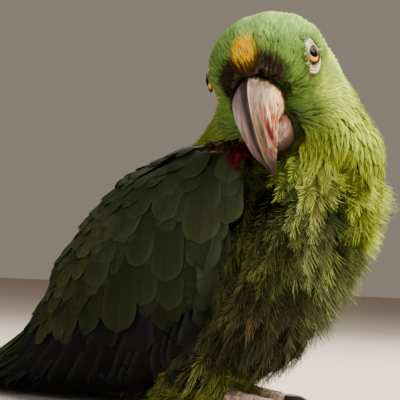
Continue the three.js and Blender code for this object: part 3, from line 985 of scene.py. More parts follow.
# %% Bristles
def bristles():
    """Sparse dusky hairs over the cere and the root of the bill."""
    rng = np.random.default_rng(18)
    coat = Coat("bristles", soft_feather, "plumage_dark")
    keep = lambda p: (dusky_share(p) > 0.4) * (from_nostril(p) > 1.6) * (to_head(p)[:, 2] < 7.5)
    roots = scatter(skin_guide, 1.0, keep, 19)
    heading = unit(lie(roots) * 0.8 + 0.55 * rng.standard_normal((len(roots), 3)))
    lengths = 2.4 + 1.8 * rng.random(len(roots))
    path, normals = lay(skin_guide, roots, heading, lengths, 3)
    tint = vary(np.tile(shade(62, 50, 38), (len(roots), 1)), rng, 0.35)
    fringes(coat, path, normals, lengths, np.full(len(roots), 1.6), (0.5, 1.7), tint, rng,
            barbs=3, steps=4, thick=0.11, start=0.0, stop=0.3, reach=1.1, spread=30, curl=0.6,
            dark=0.6, bright=1.3)
    return coat.finish()


bristles()

# %% [markdown]
# The neck and the back wear larger feathers that lie flat, with soft edges.
# The throat, breast and belly are fluffed: their feathers stand a little off
# the skin, and their long loose barbs curl at the ends.

# %% Where the wings are
BACK_EDGE = np.array([[-34, 97], [-53, 89.5], [-68.5, 76.5], [-81, 61], [-90.5, 45], [-98, 29.5],
                      [-107, 15.5]])


def wing_share(points):
    """0 at the wing's front edge, 1 at its back edge, below 0 on the breast."""
    x, _, z = points.T
    front, back = edge_x(WING_FRONT, z), edge_x(BACK_EDGE, z)
    return (front - x) / np.maximum(front - back, 10)


def on_wing(points):
    x, y, z = points.T
    share = wing_share(points)
    mantle = np.clip(25 * (x + 84) / 84, 0.5, 25)
    low = np.interp(x, WING_FRONT[::-1, 0], WING_FRONT[::-1, 1])
    side = (np.abs(y) > mantle) & (z < 97) & (z > low * (x > -44) * 0.9)
    return (share > 0.0) * side * 1.0


def on_back(points):
    x, _, z = points.T
    above = z > np.interp(x, body_line[::-1, 0], body_line[::-1, 2])
    low = (x < -8) * ((z > 40) | above) * (z < 95)
    return (on_wing(points) < 0.5) * low * (headness(points) < 0.4)


def on_neck(points):
    high = points[:, 2] > 84
    return (headness(points) < 0.5) * high * (on_wing(points) < 0.5) * (bareness(points) < 0.3)


def on_breast(points):
    z = points[:, 2]
    ahead = (wing_share(points) < 0.02) * (on_wing(points) < 0.5)
    return (z <= 90) * (z > 42) * ahead * (headness(points) < 0.5)


def on_belly(points):
    x, _, z = points.T
    low = (z <= 46) * (on_wing(points) < 0.5) * (bareness(points) < 0.3)
    return low * ((x > -60) | (z < 12)) * (x > -95)


# %% Neck and back
def neck_coat(name, keep, spacing, size, seed, barbs, vane):
    rng = np.random.default_rng(seed)
    coat = Coat(name, soft_feather, "plumage_green")
    roots = scatter(skin_guide, spacing, keep, seed + 1)
    lengths = size[0] * (0.8 + 0.4 * rng.random(len(roots)))
    widths = size[1] * (0.85 + 0.3 * rng.random(len(roots)))
    jitter = 0.10 * rng.standard_normal((len(roots), 3))
    path, normals = lay(skin_guide, roots, unit(lie(roots) + jitter), lengths, 4, lie)
    tint = vary(plumage(path[:, 1]), rng, 0.16)
    lift = (0.2, 2.0)
    soft_vanes(coat, path, normals, lengths, widths * vane, (0.1, 1.6), tint * 0.75, rng)
    fringes(coat, path, normals, lengths, widths, lift, tint, rng, barbs=barbs, steps=3,
            thick=0.21, start=0.1, stop=0.9, reach=0.5, spread=28, curl=0.35, dark=0.72, bright=1.2)
    return coat.finish()


neck_coat("neck_coat", on_neck, 1.35, (6.6, 2.9), 21, 14, 0.8)
neck_coat("back_coat", on_back, 3.6, (13.0, 8.5), 31, 16, 0.95)


# %% Throat, breast and belly
def fluffed_coat(name, keep, spacing, size, lift, seed, curl=1.3, spread=42.0, flare=0.25):
    rng = np.random.default_rng(seed)
    coat = Coat(name, soft_feather, "plumage_olive")
    roots = scatter(skin_guide, spacing, keep, seed + 1)
    lengths = size[0] * (0.75 + 0.5 * rng.random(len(roots)))
    widths = size[1] * (0.8 + 0.4 * rng.random(len(roots)))
    jitter = 0.34 * rng.standard_normal((len(roots), 3))
    path, normals = lay(skin_guide, roots, unit(lie(roots) + jitter), lengths, 5, lie)
    lock = waves(roots, 9.0, seed + 3)
    tint = vary(plumage(path[:, 1]), rng, 0.20) * np.exp(0.75 * lock)[:, None]
    stand = np.clip(0.7 + 0.7 * rng.random(len(roots)) + 0.8 * lock, 0.3, 1.9)
    on_bulge = ramp(roots[:, 1], -16, 0) * ramp(roots[:, 0], 20, 34)
    stand = (stand * (1 - 0.55 * on_bulge))[:, None, None]
    soft_vanes(coat, path, normals, lengths * 0.9, widths * 0.66, (lift[0], lift[1] * 0.7),
               tint * 0.45, rng)
    fringes(coat, path, normals, lengths, widths, (lift[0], lift[1] * stand), tint, rng,
            barbs=38, steps=4, thick=0.23, start=0.28, stop=0.97, reach=0.44, spread=spread,
            curl=curl, flare=flare, dark=0.22, bright=1.8)
    return coat.finish()


fluffed_coat("breast_coat", on_breast, 2.5, (11.5, 8.5), (0.4, 4.4), 41)
fluffed_coat("belly_coat", on_belly, 2.9, (14.0, 8.0), (0.3, 3.4), 51, curl=0.7, spread=34.0, flare=0.1)

# %% [markdown]
# The wing wears stiff feathers: small lesser coverts at the shoulder, larger
# round-tipped coverts that hang down in loose rows, and long dark flight
# feathers that run back to the tail. Each vane is a closed thin blade, with a
# shaft, a crowned face and, on most, a paler rim.

# %% Stiff vanes
TOP_COLUMNS = np.array([-1, -0.93, -0.6, -0.25, -0.04, 0.04, 0.25, 0.6, 0.93, 1.0])
UNDER_COLUMNS = np.array([0.55, -0.55])


def stiff_vanes(coat, path, normals, lengths, widths, lifts, tint, rng, rows=14, roll=0.0, rim=1.35,
                thick=0.28, widest=0.62, root=0.45, crown=0.16, lean=0.0, end=None):
    """Closed blades. Lifts hold the height at the root and the tip of each feather."""
    count = len(path)
    t = tip_steps(rows)[None, :, None]
    s = np.concatenate([TOP_COLUMNS, UNDER_COLUMNS])[None, None, :]
    under = np.arange(s.size)[None, None, :] >= len(TOP_COLUMNS)
    half = widths[:, None, None] / 2 * leaf(t, widest, root)
    across = half * (s + lean * (1 - s**2))
    ragged = 0.012 * rng.standard_normal((count, 1, s.size)) * (np.abs(s) > 0.5) * t
    along = t - 0.02 * s**2 + ragged
    low, top = lifts[:, 0, None, None], lifts[:, 1, None, None]
    wave = 0.06 * half * np.sin(5 * t + rng.random((count, 1, 1)) * 6) * s
    high = low + (top - low) * t + crown * half * (1 - s**2) + roll * across + wave
    high = high + 0.12 * (np.abs(s) < 0.1) - thick * under
    across, along, high = (np.broadcast_to(a, high.shape) for a in (across, along, high))
    grid = drape(path, normals, np.arange(count), across, along, high)
    edge = np.clip((np.abs(s) - 0.86) * 12, 0, 1) + np.clip((t - 0.965) * 40, 0, 1)
    glow = (0.82 + 0.18 * t) * (1 + (rim - 1) * np.clip(edge, 0, 1)) * (1 - 0.4 * under)
    barb = np.stack([across, along * lengths[:, None, None]], -1)
    colours = np.broadcast_to(tint[:, None, None, :], along.shape + (3,))
    if end is not None:
        colours = colours + (end - colours) * ramp(along, 0.80, 0.90)[..., None]
    coat.add(grid, colours * glow[..., None], barb, path[:, 0], closed=True)


stiff_feather = feather_material("stiff_feather", 0.60, 0.22, 0.8, -0.25, gloss=0.06)


# %% The lie and the colours of the wing
def wing_lie(points):
    share = np.clip(wing_share(points), 0, 1.1)
    angle = np.radians(-4 + 12 * share + 40 * share**3)
    return np.stack([-np.sin(angle), np.zeros(len(points)), -np.cos(angle)], 1)


def side_point(x, z, side):
    """The point of the wing's outer face at x and z; side is -1 on the right."""
    hit = body_guide.tree.ray_cast(Vector((x, side * 90.0, z)), Vector((0.0, -side, 0.0)))
    if hit[0] is None:
        hit = body_guide.tree.find_nearest(Vector((x, side * 38.0, z)))
    return np.array(hit[0])


OLIVE_WING = shade(66, 72, 42)


def wing_colours(points):
    share = np.clip(wing_share(points), 0, 1)
    olive = ramp(share, 0.5, 0.75) * (1 - ramp(points[:, 2], 60, 80))
    colours = blend(np.tile(WING, (len(points), 1)), OLIVE_WING, olive)
    black = (1 - ramp(points[:, 2], 36, 46)) * ramp(points[:, 0], -34, -26)
    colours = blend(colours, REMEX * 1.3, black)
    return colours * (0.55 + 0.65 * ramp(points[:, 2], 34, 88))[:, None]


# %% Coverts
def covert_row(coat, keep, spacing, size, lift, seed, rim=1.3, colour=None, mottle=0.10):
    rng = np.random.default_rng(seed)
    roots = scatter(body_guide, spacing, keep, seed + 1)
    lengths = size[0] * (0.85 + 0.3 * rng.random(len(roots)))
    widths = size[1] * (0.9 + 0.2 * rng.random(len(roots)))
    heading = unit(wing_lie(roots) + 0.08 * rng.standard_normal((len(roots), 3)))
    path, normals = lay(body_guide, roots, heading, lengths, 6, wing_lie)
    lifts = np.tile(lift, (len(roots), 1)) + 0.3 * rng.random((len(roots), 1))
    base = wing_colours(path[:, 3]) if colour is None else np.tile(colour, (len(roots), 1))
    stiff_vanes(coat, path, normals, lengths, widths, lifts, vary(base, rng, mottle), rng,
                rows=10, roll=0.06, rim=rim, widest=0.70, root=0.6)
    return len(roots)


BIG_COVERTS = [  # tip x and z seen from the side, length, width and how high it lies
    (-37, 60, 24, 11, 0.2), (-20, 66, 26, 12.5, 0.2), (1, 66, 24, 12, 0.2), (-30, 50, 28, 12.5, 0.5),
    (-6, 59, 30, 14.5, 0.8), (-49, 42, 26, 11.5, 0.3), (-6.5, 50, 28, 13.5, 0.4), (-19, 45.5, 30, 13.5, 0.9),
    (-7.5, 40.5, 28, 13, 0.1), (-18.5, 36, 28, 12.5, 0.5), (-29, 37, 26, 12, 0.2), (-20, 29, 26, 12.5, 0.1),
    (-37.5, 27, 36, 15, 1.0), (-9, 31, 22, 11, -0.2), (-48, 31, 24, 11, 0.2), (-56, 35, 22, 8, 0.4),
    (-52, 26, 24, 10, 0.1), (-61, 24, 24, 8, 0.4), (-67, 22.5, 24, 7.5, 0.5), (-63, 20.5, 24, 8, 0.1),
    (-73, 24, 22, 7.5, 0.3), (-78, 20, 22, 7.5, 0.3),
]
DARK_COVERTS = [  # the greater coverts below them are nearly black
    (-21, 22, 30, 13, -0.5), (-11, 23, 26, 12, -0.6), (-31, 20, 30, 13, -0.6), (-45, 20, 28, 12, -0.6),
]


def set_coverts(coat, table, colour, rim, seed):
    """Coverts set one by one, by the place of the tip."""
    rng = np.random.default_rng(seed)
    for side in (-1, 1):
        tips = np.array([side_point(x, z, side) for x, z, _, _, _ in table])
        sizes = np.array([row[2:] for row in table], float)
        roots, _ = lay(body_guide, tips, -wing_lie(tips), sizes[:, 0], 6, lambda p: -wing_lie(p))
        path, normals = lay(body_guide, roots[:, -1], wing_lie(roots[:, -1]), sizes[:, 0], 8, wing_lie)
        lifts = np.stack([sizes[:, 2] - 3.2, sizes[:, 2]], 1)
        base = wing_colours(path[:, 4]) if colour is None else np.tile(colour, (len(tips), 1))
        stiff_vanes(coat, path, normals, sizes[:, 0], sizes[:, 1], lifts, vary(base, rng, 0.08),
                    rng, rows=20, roll=0.03, rim=rim, widest=0.76, root=0.66)


coverts = Coat("wing_coverts", stiff_feather, "plumage_dark")
shoulder = lambda p: on_wing(p) * (p[:, 2] > 68) * (wing_share(p) > 0.08) * (wing_share(p) < 0.86)
middle = lambda p: on_wing(p) * (p[:, 2] < 72) * (p[:, 2] > 54) * (wing_share(p) < 0.62)
rear = lambda p: on_wing(p) * (p[:, 2] > 34) * (wing_share(p) > 0.5) * (wing_share(p) < 1.02)
bend = lambda p: on_wing(p) * (p[:, 2] > np.clip(87 + 1.1 * (3 - p[:, 0]), 87, 94.5)) * (p[:, 0] > -12)
print("middle", covert_row(coverts, middle, 7.0, (22.0, 12.0), (-2.8, -0.6), 62),
      "shoulder", covert_row(coverts, shoulder, 5.4, (17.0, 10.5), (-2.8, -0.5), 61, rim=1.15),
      "rear", covert_row(coverts, rear, 5.4, (14.0, 7.5), (-2.6, 0.0), 63, rim=1.4),
      "bend", covert_row(coverts, bend, 1.25, (4.2, 2.0), (-0.8, 0.7), 64, rim=1.0,
                         colour=BEND_RED, mottle=0.3))
set_coverts(coverts, BIG_COVERTS, None, 1.55, 71)
set_coverts(coverts, DARK_COVERTS, REMEX * 1.2, 2.8, 72)
coverts.finish()

# %% Tertials along the back edge
EDGE_FEATHERS = np.array([  # height of root and tip, share of the wing at both, width
    [95, 70, 0.80, 0.93, 9], [92, 62, 0.88, 0.96, 9], [84, 54, 0.90, 0.98, 9], [78, 47, 0.94, 1.00, 8.5],
    [70, 40, 0.95, 1.01, 8.5], [62, 33, 0.96, 1.02, 8], [56, 27, 0.97, 1.03, 8], [90, 66, 0.96, 1.03, 8],
    [76, 50, 1.02, 1.05, 8], [60, 34, 1.03, 1.06, 8]])


def edge_point(height, share, side):
    front, back = edge_x(WING_FRONT, height), edge_x(BACK_EDGE, height)
    return side_point(front - share * (front - back), height, side)


def spans(starts, stops, steps):
    """Paths that run straight from start to stop, pressed onto the guide."""
    path, normals = [], []
    for share in np.linspace(0, 1, steps + 1):
        spots, ups, _ = body_guide.settle(starts + (stops - starts) * share)
        path.append(spots)
        normals.append(ups)
    return np.stack(path, 1), np.stack(normals, 1)


def edge_feathers(coat):
    rng = np.random.default_rng(75)
    for side in (-1, 1):
        starts = np.array([edge_point(row[0], row[2], side) for row in EDGE_FEATHERS])
        stops = np.array([edge_point(row[1], row[3], side) for row in EDGE_FEATHERS])
        path, normals = spans(starts, stops, 10)
        lengths = np.linalg.norm(np.diff(path, axis=1), axis=2).sum(1)
        lifts = np.tile([-4.0, -0.4], (len(starts), 1)) + 0.3 * rng.random((len(starts), 1))
        tint = vary(np.tile(shade(34, 44, 28), (len(starts), 1)), rng, 0.10)
        stiff_vanes(coat, path, normals, lengths, EDGE_FEATHERS[:, 4], lifts, tint, rng,
                    rows=18, roll=0.05, rim=1.6, widest=0.72, root=0.6)


# %% Flight feathers
REMEX_ROOTS = np.array([[-10, 40], [-26, 44], [-48, 52], [-64, 60], [-74, 62]], float)
REMEX_TIPS = np.array([[-15, 37, 7], [-30, 36, 3.5], [-48, 34, 2.5], [-72, 31, 3], [-104, 28, 6],
                       [-130, 23, 9], [-154, 16, 10], [-174, 7, 9.5]], float)


def flight_feathers(coat, count, low, width):
    rng = np.random.default_rng(81 + count)
    share = np.linspace(0, 1, count)
    for side in (-1, 1):
        spread = fine_line(np.column_stack([REMEX_ROOTS, np.zeros(len(REMEX_ROOTS))]), count)
        starts = np.array([side_point(x, z, side) for x, z in spread[:, :2]])
        stops = fine_line(REMEX_TIPS, count) * [1, side, 1]
        path, normals = spans(starts, stops, 14)
        droop = 2.6 * ramp(np.linspace(0, 1, 15), 0.5, 1.0)
        path[..., 2] -= droop * (1 - ramp(share, 0.5, 0.7))[:, None]
        lengths = np.linalg.norm(np.diff(path, axis=1), axis=2).sum(1)
        height = -1.9 + 0.8 * share - low
        lifts = np.stack([height - 0.6, height], 1)
        tint = vary(np.tile(REMEX, (count, 1)), rng, 0.08)
        tint = blend(tint, TAIL_GREEN * 0.6, 0.7 * ramp(share, 0.5, 0.85))
        stiff_vanes(coat, path, normals, lengths, np.full(count, width), lifts, tint, rng, rows=24,
                    roll=0.10 * side, rim=3.0, widest=0.86, root=0.6, crown=0.10)


flight = Coat("flight_feathers", stiff_feather, "plumage_dark")
flight_feathers(flight, 17, 1.6, 17.0)
flight_feathers(flight, 18, 0.0, 13.5)
edge_feathers(flight)
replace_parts(flight.finish(), *REMIGES)

# %% [markdown]
# Twelve tail feathers lie low over the floor in a closed fan, the middle pair
# on top. They are green with a yellower end. Two rows of tail coverts lie
# over their roots, and the lowest feathers of the back run down onto these.

# %% Tail
def fan(coat, count, base, length, width, turn, heights, rim, end, seed):
    """A fan of blades from base x. Heights are of the root, the tip and the middle pair's lead."""
    rng = np.random.default_rng(seed)
    offset = np.linspace(-1, 1, count)
    middle = 1 - np.abs(offset)
    angle = np.radians(turn) * offset
    lengths = length * (1 - 0.14 * offset**2)
    steps = np.linspace(0, 1, 11)
    starts = np.stack([np.full(count, base), -0.62 * width * offset, np.full(count, heights[0])], 1)
    ways = np.stack([-np.cos(angle), -np.sin(angle), np.zeros(count)], 1)
    path = starts[:, None] + ways[:, None] * steps[None, :, None] * lengths[:, None, None]
    fall = (heights[1] - heights[0]) * ramp(steps, 0.0, 0.8)[None]
    path[..., 2] += fall + heights[2] * middle[:, None]
    normals = np.tile([0.0, 0.0, 1.0], (count, 11, 1))
    tint = vary(np.tile(TAIL_GREEN, (count, 1)), rng, 0.10)
    roll = (-0.16 * np.sign(offset))[:, None, None]
    widths = np.full(count, width)
    stiff_vanes(coat, path, normals, lengths, widths, np.zeros((count, 2)), tint, rng,
                rows=26, roll=roll, rim=rim, widest=0.90, root=0.5, crown=0.12, end=end)


TAIL_BASE = -86.0
tail_reach = TAIL_BASE - (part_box("tail")[0][0] / MM - ORIGIN[0])
tail_coat = Coat("tail_feathers", stiff_feather, "plumage_dark")
fan(tail_coat, 12, TAIL_BASE, tail_reach, 15.0, 12.0, (2.4, 0.6, 2.2), 0.7, TAIL_END, 91)
fan(tail_coat, 8, -78.0, 40.0, 13.0, 13.0, (6.4, 3.4, 1.6), 1.3, None, 92)
fan(tail_coat, 6, -68.0, 34.0, 12.0, 15.0, (12.0, 5.2, 1.6), 1.3, None, 93)

# %% Coverts between the wings
RUMP = np.array([[-74, 0, 66], [-80, 0, 56], [-87, 0, 42], [-94, 0, 28], [-104, 0, 16.5],
                 [-116, 0, 12.0], [-130, 0, 10.0], [-150, 0, 8.0]], float)


def rump_feathers(coat):
    rng = np.random.default_rng(95)
    line = fine_line(RUMP, 120)
    heading = unit(np.gradient(line, axis=0))
    spacing = np.linalg.norm(line[1] - line[0])
    for row, start in enumerate(range(0, 100, 9)):
        stop = min(start + int(22 / spacing), 119)
        picks = np.linspace(start, stop, 9).astype(int)
        aside = np.array([-4.6, 0.0, 4.6]) + (2.2 if row % 2 else 0.0) + 0.4 * rng.standard_normal(3)
        path = np.repeat(line[picks][None], 3, axis=0)
        path[..., 1] += aside[:, None] * (1 + 0.1 * np.linspace(0, 1, 9))
        ahead = heading[picks]
        up = np.stack([ahead[:, 2], 0 * ahead[:, 0], -ahead[:, 0]], 1)
        lengths = np.linalg.norm(np.diff(path, axis=1), axis=2).sum(1)
        tint = vary(np.tile(shade(40, 54, 26), (3, 1)), rng, 0.12)
        stiff_vanes(coat, path, np.repeat(up[None], 3, axis=0), lengths, np.full(3, 8.5),
                    np.tile([-1.6, 0.2], (3, 1)), tint, rng, rows=14, rim=1.3, widest=0.72, root=0.6)


rump_feathers(tail_coat)
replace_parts(tail_coat.finish(), "tail")

# %% [markdown]
# The bill is two curved sheaths of horn. Each starts as a disc that is
# extruded ring by ring into a straight rod, with rings so close that it needs
# no subdivision. Then every point is carried to its place on the bill's own
# curve, which is described by rows of centres and half sizes. The upper one
# has a keeled ridge, flat sides, a sharp cutting edge with a notch, and horn
# that flakes near that edge.

# %% Rows of the two sheaths
UPPER_ROWS = np.array([  # forward, up, half height above, half height below, half width
    [15.0, -6.5, 8.5, 8.5, 8.4], [22.0, -6.0, 8.8, 8.8, 9.0], [28.0, -8.4, 8.2, 8.0, 8.3],
    [31.4, -14.5, 6.6, 6.0, 6.7], [31.2, -21.5, 4.6, 4.0, 4.7], [29.4, -26.6, 2.6, 2.2, 2.4],
    [27.4, -31.0, 0.6, 0.6, 0.6]])
LOWER_ROWS = np.array([
    [11.0, -17.0, 6.0, 6.0, 8.0], [17.5, -19.5, 6.4, 6.0, 8.6], [23.0, -21.0, 5.0, 4.3, 7.2],
    [26.8, -21.0, 2.0, 2.0, 4.4]])


BILL_NARROW = 0.95   # the sheaths are this much narrower than the rows say


def smooth_rows(rows, share):
    """A Catmull-Rom curve through the rows, at shares from 0 to 1."""
    ends = np.concatenate([[2 * rows[0] - rows[1]], rows, [2 * rows[-1] - rows[-2]]])
    place = np.clip(share, 0, 1) * (len(rows) - 1)
    low = np.minimum(place.astype(int), len(rows) - 2)
    t = (place - low)[..., None]
    a, b, c, d = (ends[low + k] for k in range(4))
    square, cube = 2 * a - 5 * b + 4 * c - d, 3 * b - a - 3 * c + d
    return 0.5 * (2 * b + (c - a) * t + square * t**2 + cube * t**3)


def rod(name, sides, rings):
    """A disc extruded into a rod one unit long per ring, closed at both ends."""
    deselect()
    bpy.ops.mesh.primitive_circle_add(vertices=sides, radius=1.0, fill_type="NGON",
                                      rotation=(0, math.pi / 2, 0))
    piece = bpy.context.object
    piece.name = piece.data.name = name
    bpy.ops.object.transform_apply(location=True, rotation=True, scale=True)
    bpy.ops.object.mode_set(mode="EDIT")
    bpy.ops.mesh.select_all(action="SELECT")
    for _ in range(rings):
        bpy.ops.mesh.extrude_region_move(TRANSFORM_OT_translate={"value": (1.0, 0.0, 0.0)})
    bpy.ops.mesh.select_all(action="SELECT")
    bpy.ops.mesh.normals_make_consistent(inside=False)
    bpy.ops.object.mode_set(mode="OBJECT")
    return piece


def rod_points(piece):
    flat = np.empty(len(piece.data.vertices) * 3, np.float32)
    piece.data.vertices.foreach_get("co", flat)
    return flat.reshape(-1, 3).astype(float)


def flat_caps(piece):
    """Fans of triangles instead of the two many-sided end faces."""
    make_active(piece)
    bpy.ops.object.mode_set(mode="EDIT")
    bpy.ops.mesh.select_all(action="DESELECT")
    bpy.ops.mesh.select_face_by_sides(number=5, type="GREATER")
    bpy.ops.mesh.poke()
    bpy.ops.object.mode_set(mode="OBJECT")


def give_values(piece, colours, growth):
    """The tint of each point, and its place along and across the growth in mm."""
    mesh = piece.data
    set_tint(mesh, colours)
    corners = np.empty(len(mesh.loops), np.int32)
    mesh.loops.foreach_get("vertex_index", corners)
    place = mesh.uv_layers.active or mesh.uv_layers.new(name="growth")
    place.name = "growth"
    place.data.foreach_set("uv", growth[corners].astype(np.float32).ravel())


# %% Carry a rod onto the bill's curve
def bill_points(piece, rows, rings, section):
    """Section gives the height and side shares for a ring angle; returns head-axes points."""
    rods = rod_points(piece)
    share = rods[:, 0] / rings
    angle = np.arctan2(rods[:, 1], rods[:, 2])          # 0 on the ridge
    radius = np.hypot(rods[:, 1], rods[:, 2])
    row = smooth_rows(rows, share)
    ahead = smooth_rows(rows, share + 0.01) - smooth_rows(rows, share - 0.01)
    tangent = unit(ahead[:, [0, 1]])
    up, side = section(share, angle)
    size = np.where(up > 0, row[:, 2], row[:, 3])
    high, wide = up * size * radius, side * row[:, 4] * radius
    x = row[:, 0] - tangent[:, 1] * high
    z = row[:, 1] + tangent[:, 0] * high
    return np.stack([x, BILL_NARROW * wide + FACE_MIDDLE, z], 1), share, angle, row


def squared(angle, power):
    """Height and side shares of a circle drawn out towards a square."""
    return tuple(np.sign(part) * np.abs(part) ** power for part in (np.cos(angle), np.sin(angle)))


def upper_section(share, angle):
    up, side = squared(angle, 2.0 / np.where(np.cos(angle) > 0, 1.62, 2.6))
    ridge = 0.05 * hump(angle, 0, 0.16) * ramp(share, 0.1, 0.3)
    return up * (1 + ridge), side


def lower_section(_, angle):
    return squared(angle, 2.0 / 2.5)


# %% Upper sheath
def upper_bill():
    rings = 64
    piece = rod("bill_upper_horn", 112, rings)
    flat_caps(piece)
    points, share, angle, row = bill_points(piece, UPPER_ROWS, rings, upper_section)
    off = np.abs(angle)
    growth = np.stack([angle * (0.6 * row[:, 4]), share * 42.0], 1)
    lines = waves(growth * [1.0, 0.07], 0.9, 6)
    scratches = waves(growth * [1.0, 0.16], 1.3, 5, octaves=2)
    patches = waves(growth * [1.0, 0.5], 4.0, 9)
    edge = hump(off, 2.2, 0.22)                     # the cutting edge
    notch = edge * ramp(share, 0.60, 0.63) * (1 - ramp(share, 0.66, 0.80))
    cracks = hump(waves(growth * [1.0, 0.14], 2.4, 15, octaves=2), 0, 0.10)
    worn = ramp(angle, 0.42, 0.80) * ramp(share, 0.30, 0.40)
    worn = worn * (1 - ramp(share, 0.68, 0.76)) * (1 - ramp(off, 2.3, 2.6))
    plates = np.floor((scratches + 1) * 2.5) / 2.5 - 1
    groove = hump(off, 1.55, 0.10) * ramp(share, 0.15, 0.3) * (1 - ramp(share, 0.75, 0.9))
    hollow = hump(off, 0.45, 0.30) * ramp(share, 0.2, 0.4) * (1 - ramp(share, 0.85, 1.0))
    depth = 0.55 * worn * (plates - 0.4) + 0.11 * lines + 0.05 * scratches
    depth = depth - 0.5 * notch - 0.15 * groove - 0.35 * hollow
    away = unit(points - np.stack([row[:, 0], 0 * share + FACE_MIDDLE, row[:, 1]], 1))
    points += away * (depth * (1 - ramp(share, 0.93, 1.0)))[:, None]
    streak = np.clip(0.5 + 1.6 * lines, 0, 1)
    smear = np.clip(0.6 + 0.9 * patches, 0, 1)
    right = ramp(angle, -0.06, 0.05)
    ridge_side = right * ramp(angle, 0.06, 0.16) * (1 - ramp(angle, 0.80, 1.10))
    spots = np.clip(2.4 * patches * lines - 0.1, 0, 0.7)
    toward_tip = ramp(share, 0.36, 0.60) * (0.55 + 0.4 * streak)
    base = paint(
        np.tile(shade(128, 106, 110), (len(points), 1)),
        # Paler lilac streaks on the bird's right flank: horn colour with a painted highlight.
        ((190, 170, 170), ramp(-angle, 0.45, 1.0) * (0.35 + 0.4 * streak) * (1 - ramp(share, 0.5, 0.8))),
        ((30, 23, 28), (0.72 + 0.25 * streak) * hump(angle, -0.25, 0.22, 4)),
        ((158, 134, 108), right),
        ((84, 68, 58), ridge_side * (0.25 + 0.65 * streak) * ramp(share, 0.2, 0.3)),
        ((216, 170, 112), right * ramp(angle, 0.85, 1.15) * (0.95 - 0.3 * streak)),
        ((70, 54, 44), right * spots * ramp(share, 0.24, 0.34)),
        ((104, 72, 58), right * ramp(angle, 0.08, 0.3) * toward_tip),
        ((190, 118, 100), right * ramp(angle, 0.6, 0.9) * ramp(share, 0.34, 0.6) * 0.7 * smear),
        ((92, 66, 52), right * cracks * ramp(share, 0.20, 0.28) * ramp(angle, 0.05, 0.2) * 0.65),
        ((142, 46, 44), worn * np.clip(0.25 - 1.8 * scratches, 0, 1)),
        ((104, 32, 34), worn * cracks * 0.9),
        ((224, 196, 160), worn * np.clip(1.8 * scratches - 0.15, 0, 1) * 0.8),
        ((76, 66, 58), ramp(share, 0.58, 0.76) * 0.8),
        (0.72, ramp(share, 0.40, 0.55)),
        ((40, 35, 31), ramp(share, 0.74, 0.93) * 0.85),
        # A painted highlight along the cutting edge near the tip.
        ((176, 156, 132), right * hump(angle, 1.9, 0.18) * ramp(share, 0.66, 0.78) * 0.6),
        ((48, 36, 34), (1 - ramp(share, 0.14, 0.20)) * 0.8))
    base *= (1 + (0.30 + 0.25 * right) * np.clip(lines, -1, 1))[:, None]
    base *= (1 - 0.35 * right * ramp(angle, 1.25, 1.7))[:, None]
    move_points(piece.data, from_head(points))
    give_values(piece, base, growth)
    return piece


# %% Lower sheath
def lower_bill():
    rings = 30
    piece = rod("bill_lower_horn", 96, rings)
    flat_caps(piece)
    points, share, angle, row = bill_points(piece, LOWER_ROWS, rings, lower_section)
    growth = np.stack([angle * (0.7 * row[:, 4]), share * 20.0], 1)
    lines = waves(growth * [0.15, 1.0], 1.1, 8)
    blots = waves(growth, 5.0, 18)
    away = unit(points - np.stack([row[:, 0], 0 * share + FACE_MIDDLE, row[:, 1]], 1))
    long_lines = waves(growth * [1.0, 0.12], 1.1, 28)
    flakes = (np.floor((long_lines + 1) * 2.5) / 2.5 - 1) * (1 - ramp(angle, 0.9, 1.3))
    depth = 0.16 * lines + 0.3 * flakes - 0.25 * hump(np.abs(angle), 1.2, 0.15)
    points += away * depth[:, None]
    base = paint(
        np.tile(shade(84, 58, 45), (len(points), 1)),
        # A painted highlight on the face of the lower sheath that turns to the light.
        ((124, 88, 62), hump(angle, 0.95, 0.55) * (0.5 + 0.4 * np.clip(lines, -1, 1))),
        ((108, 36, 34), (1 - ramp(angle, 0.7, 1.3)) * np.clip(0.3 + 1.8 * long_lines, 0, 0.9)),
        ((150, 108, 84), (1 - ramp(angle, 0.6, 1.1)) * np.clip(-2.0 * long_lines - 0.2, 0, 0.8)),
        (0.7, 1 - ramp(share, 0.55, 0.8)),
        ((96, 56, 42), np.clip(0.9 * blots, 0, 0.5)),
        # Painted shade towards both flanks of the lower sheath.
        (0.30, np.maximum(ramp(angle, 1.05, 1.8), ramp(-angle, 0.6, 1.4))),
        ((70, 56, 50), ramp(share, 0.75, 1.0) * 0.6))
    move_points(piece.data, from_head(points))
    give_values(piece, base, growth)
    return piece


# %% Horn
def streak_group():
    """Fine streaks and small pits from a growth map in mm."""
    group, entry, leave = new_group(
        "horn_streaks", [("Place", "NodeSocketVector", None), ("Streak", "NodeSocketFloat", 1.6)],
        [("Streaks", "NodeSocketFloat"), ("Pits", "NodeSocketFloat")])
    long = node(group, "ShaderNodeMapping")
    long.inputs["Scale"].default_value = (1.0, 0.10, 1.0)
    wire(group, entry, "Place", long, "Vector")
    streaks = noise(group, None, 5.0, long)
    wire(group, entry, "Streak", streaks, "Scale")
    wire(group, streaks, 0, leave, "Streaks")
    wire(group, noise(group, 2.2, 4.0, entry, "Place"), 0, leave, "Pits")
    return group


horn_streaks = streak_group()


def horn_material(name, roughness, streak, coat_weight, strength=0.5):
    material, tree, surface = new_material(name, {
        "Coat Weight": coat_weight, "Specular IOR Level": 0.10, "Coat Roughness": 0.25})
    place = node(tree, "ShaderNodeUVMap", uv_map="growth")
    streaks = node(tree, "ShaderNodeGroup", node_tree=horn_streaks)
    streaks.inputs["Streak"].default_value = streak
    wire(tree, place, 0, streaks, "Place")
    paint_tint(tree, surface, maths(tree, "MULTIPLY_ADD", (streaks, "Streaks"), 2.0, 0.0))
    rough = maths(tree, "MULTIPLY_ADD", (streaks, "Pits"), 0.3, roughness - 0.15)
    wire(tree, *rough, surface, "Roughness")
    add_bump(tree, surface, (streaks, "Streaks"), strength, 0.0003)
    return material


bill_horn = horn_material("bill_horn", 0.52, 1.6, 0.04)


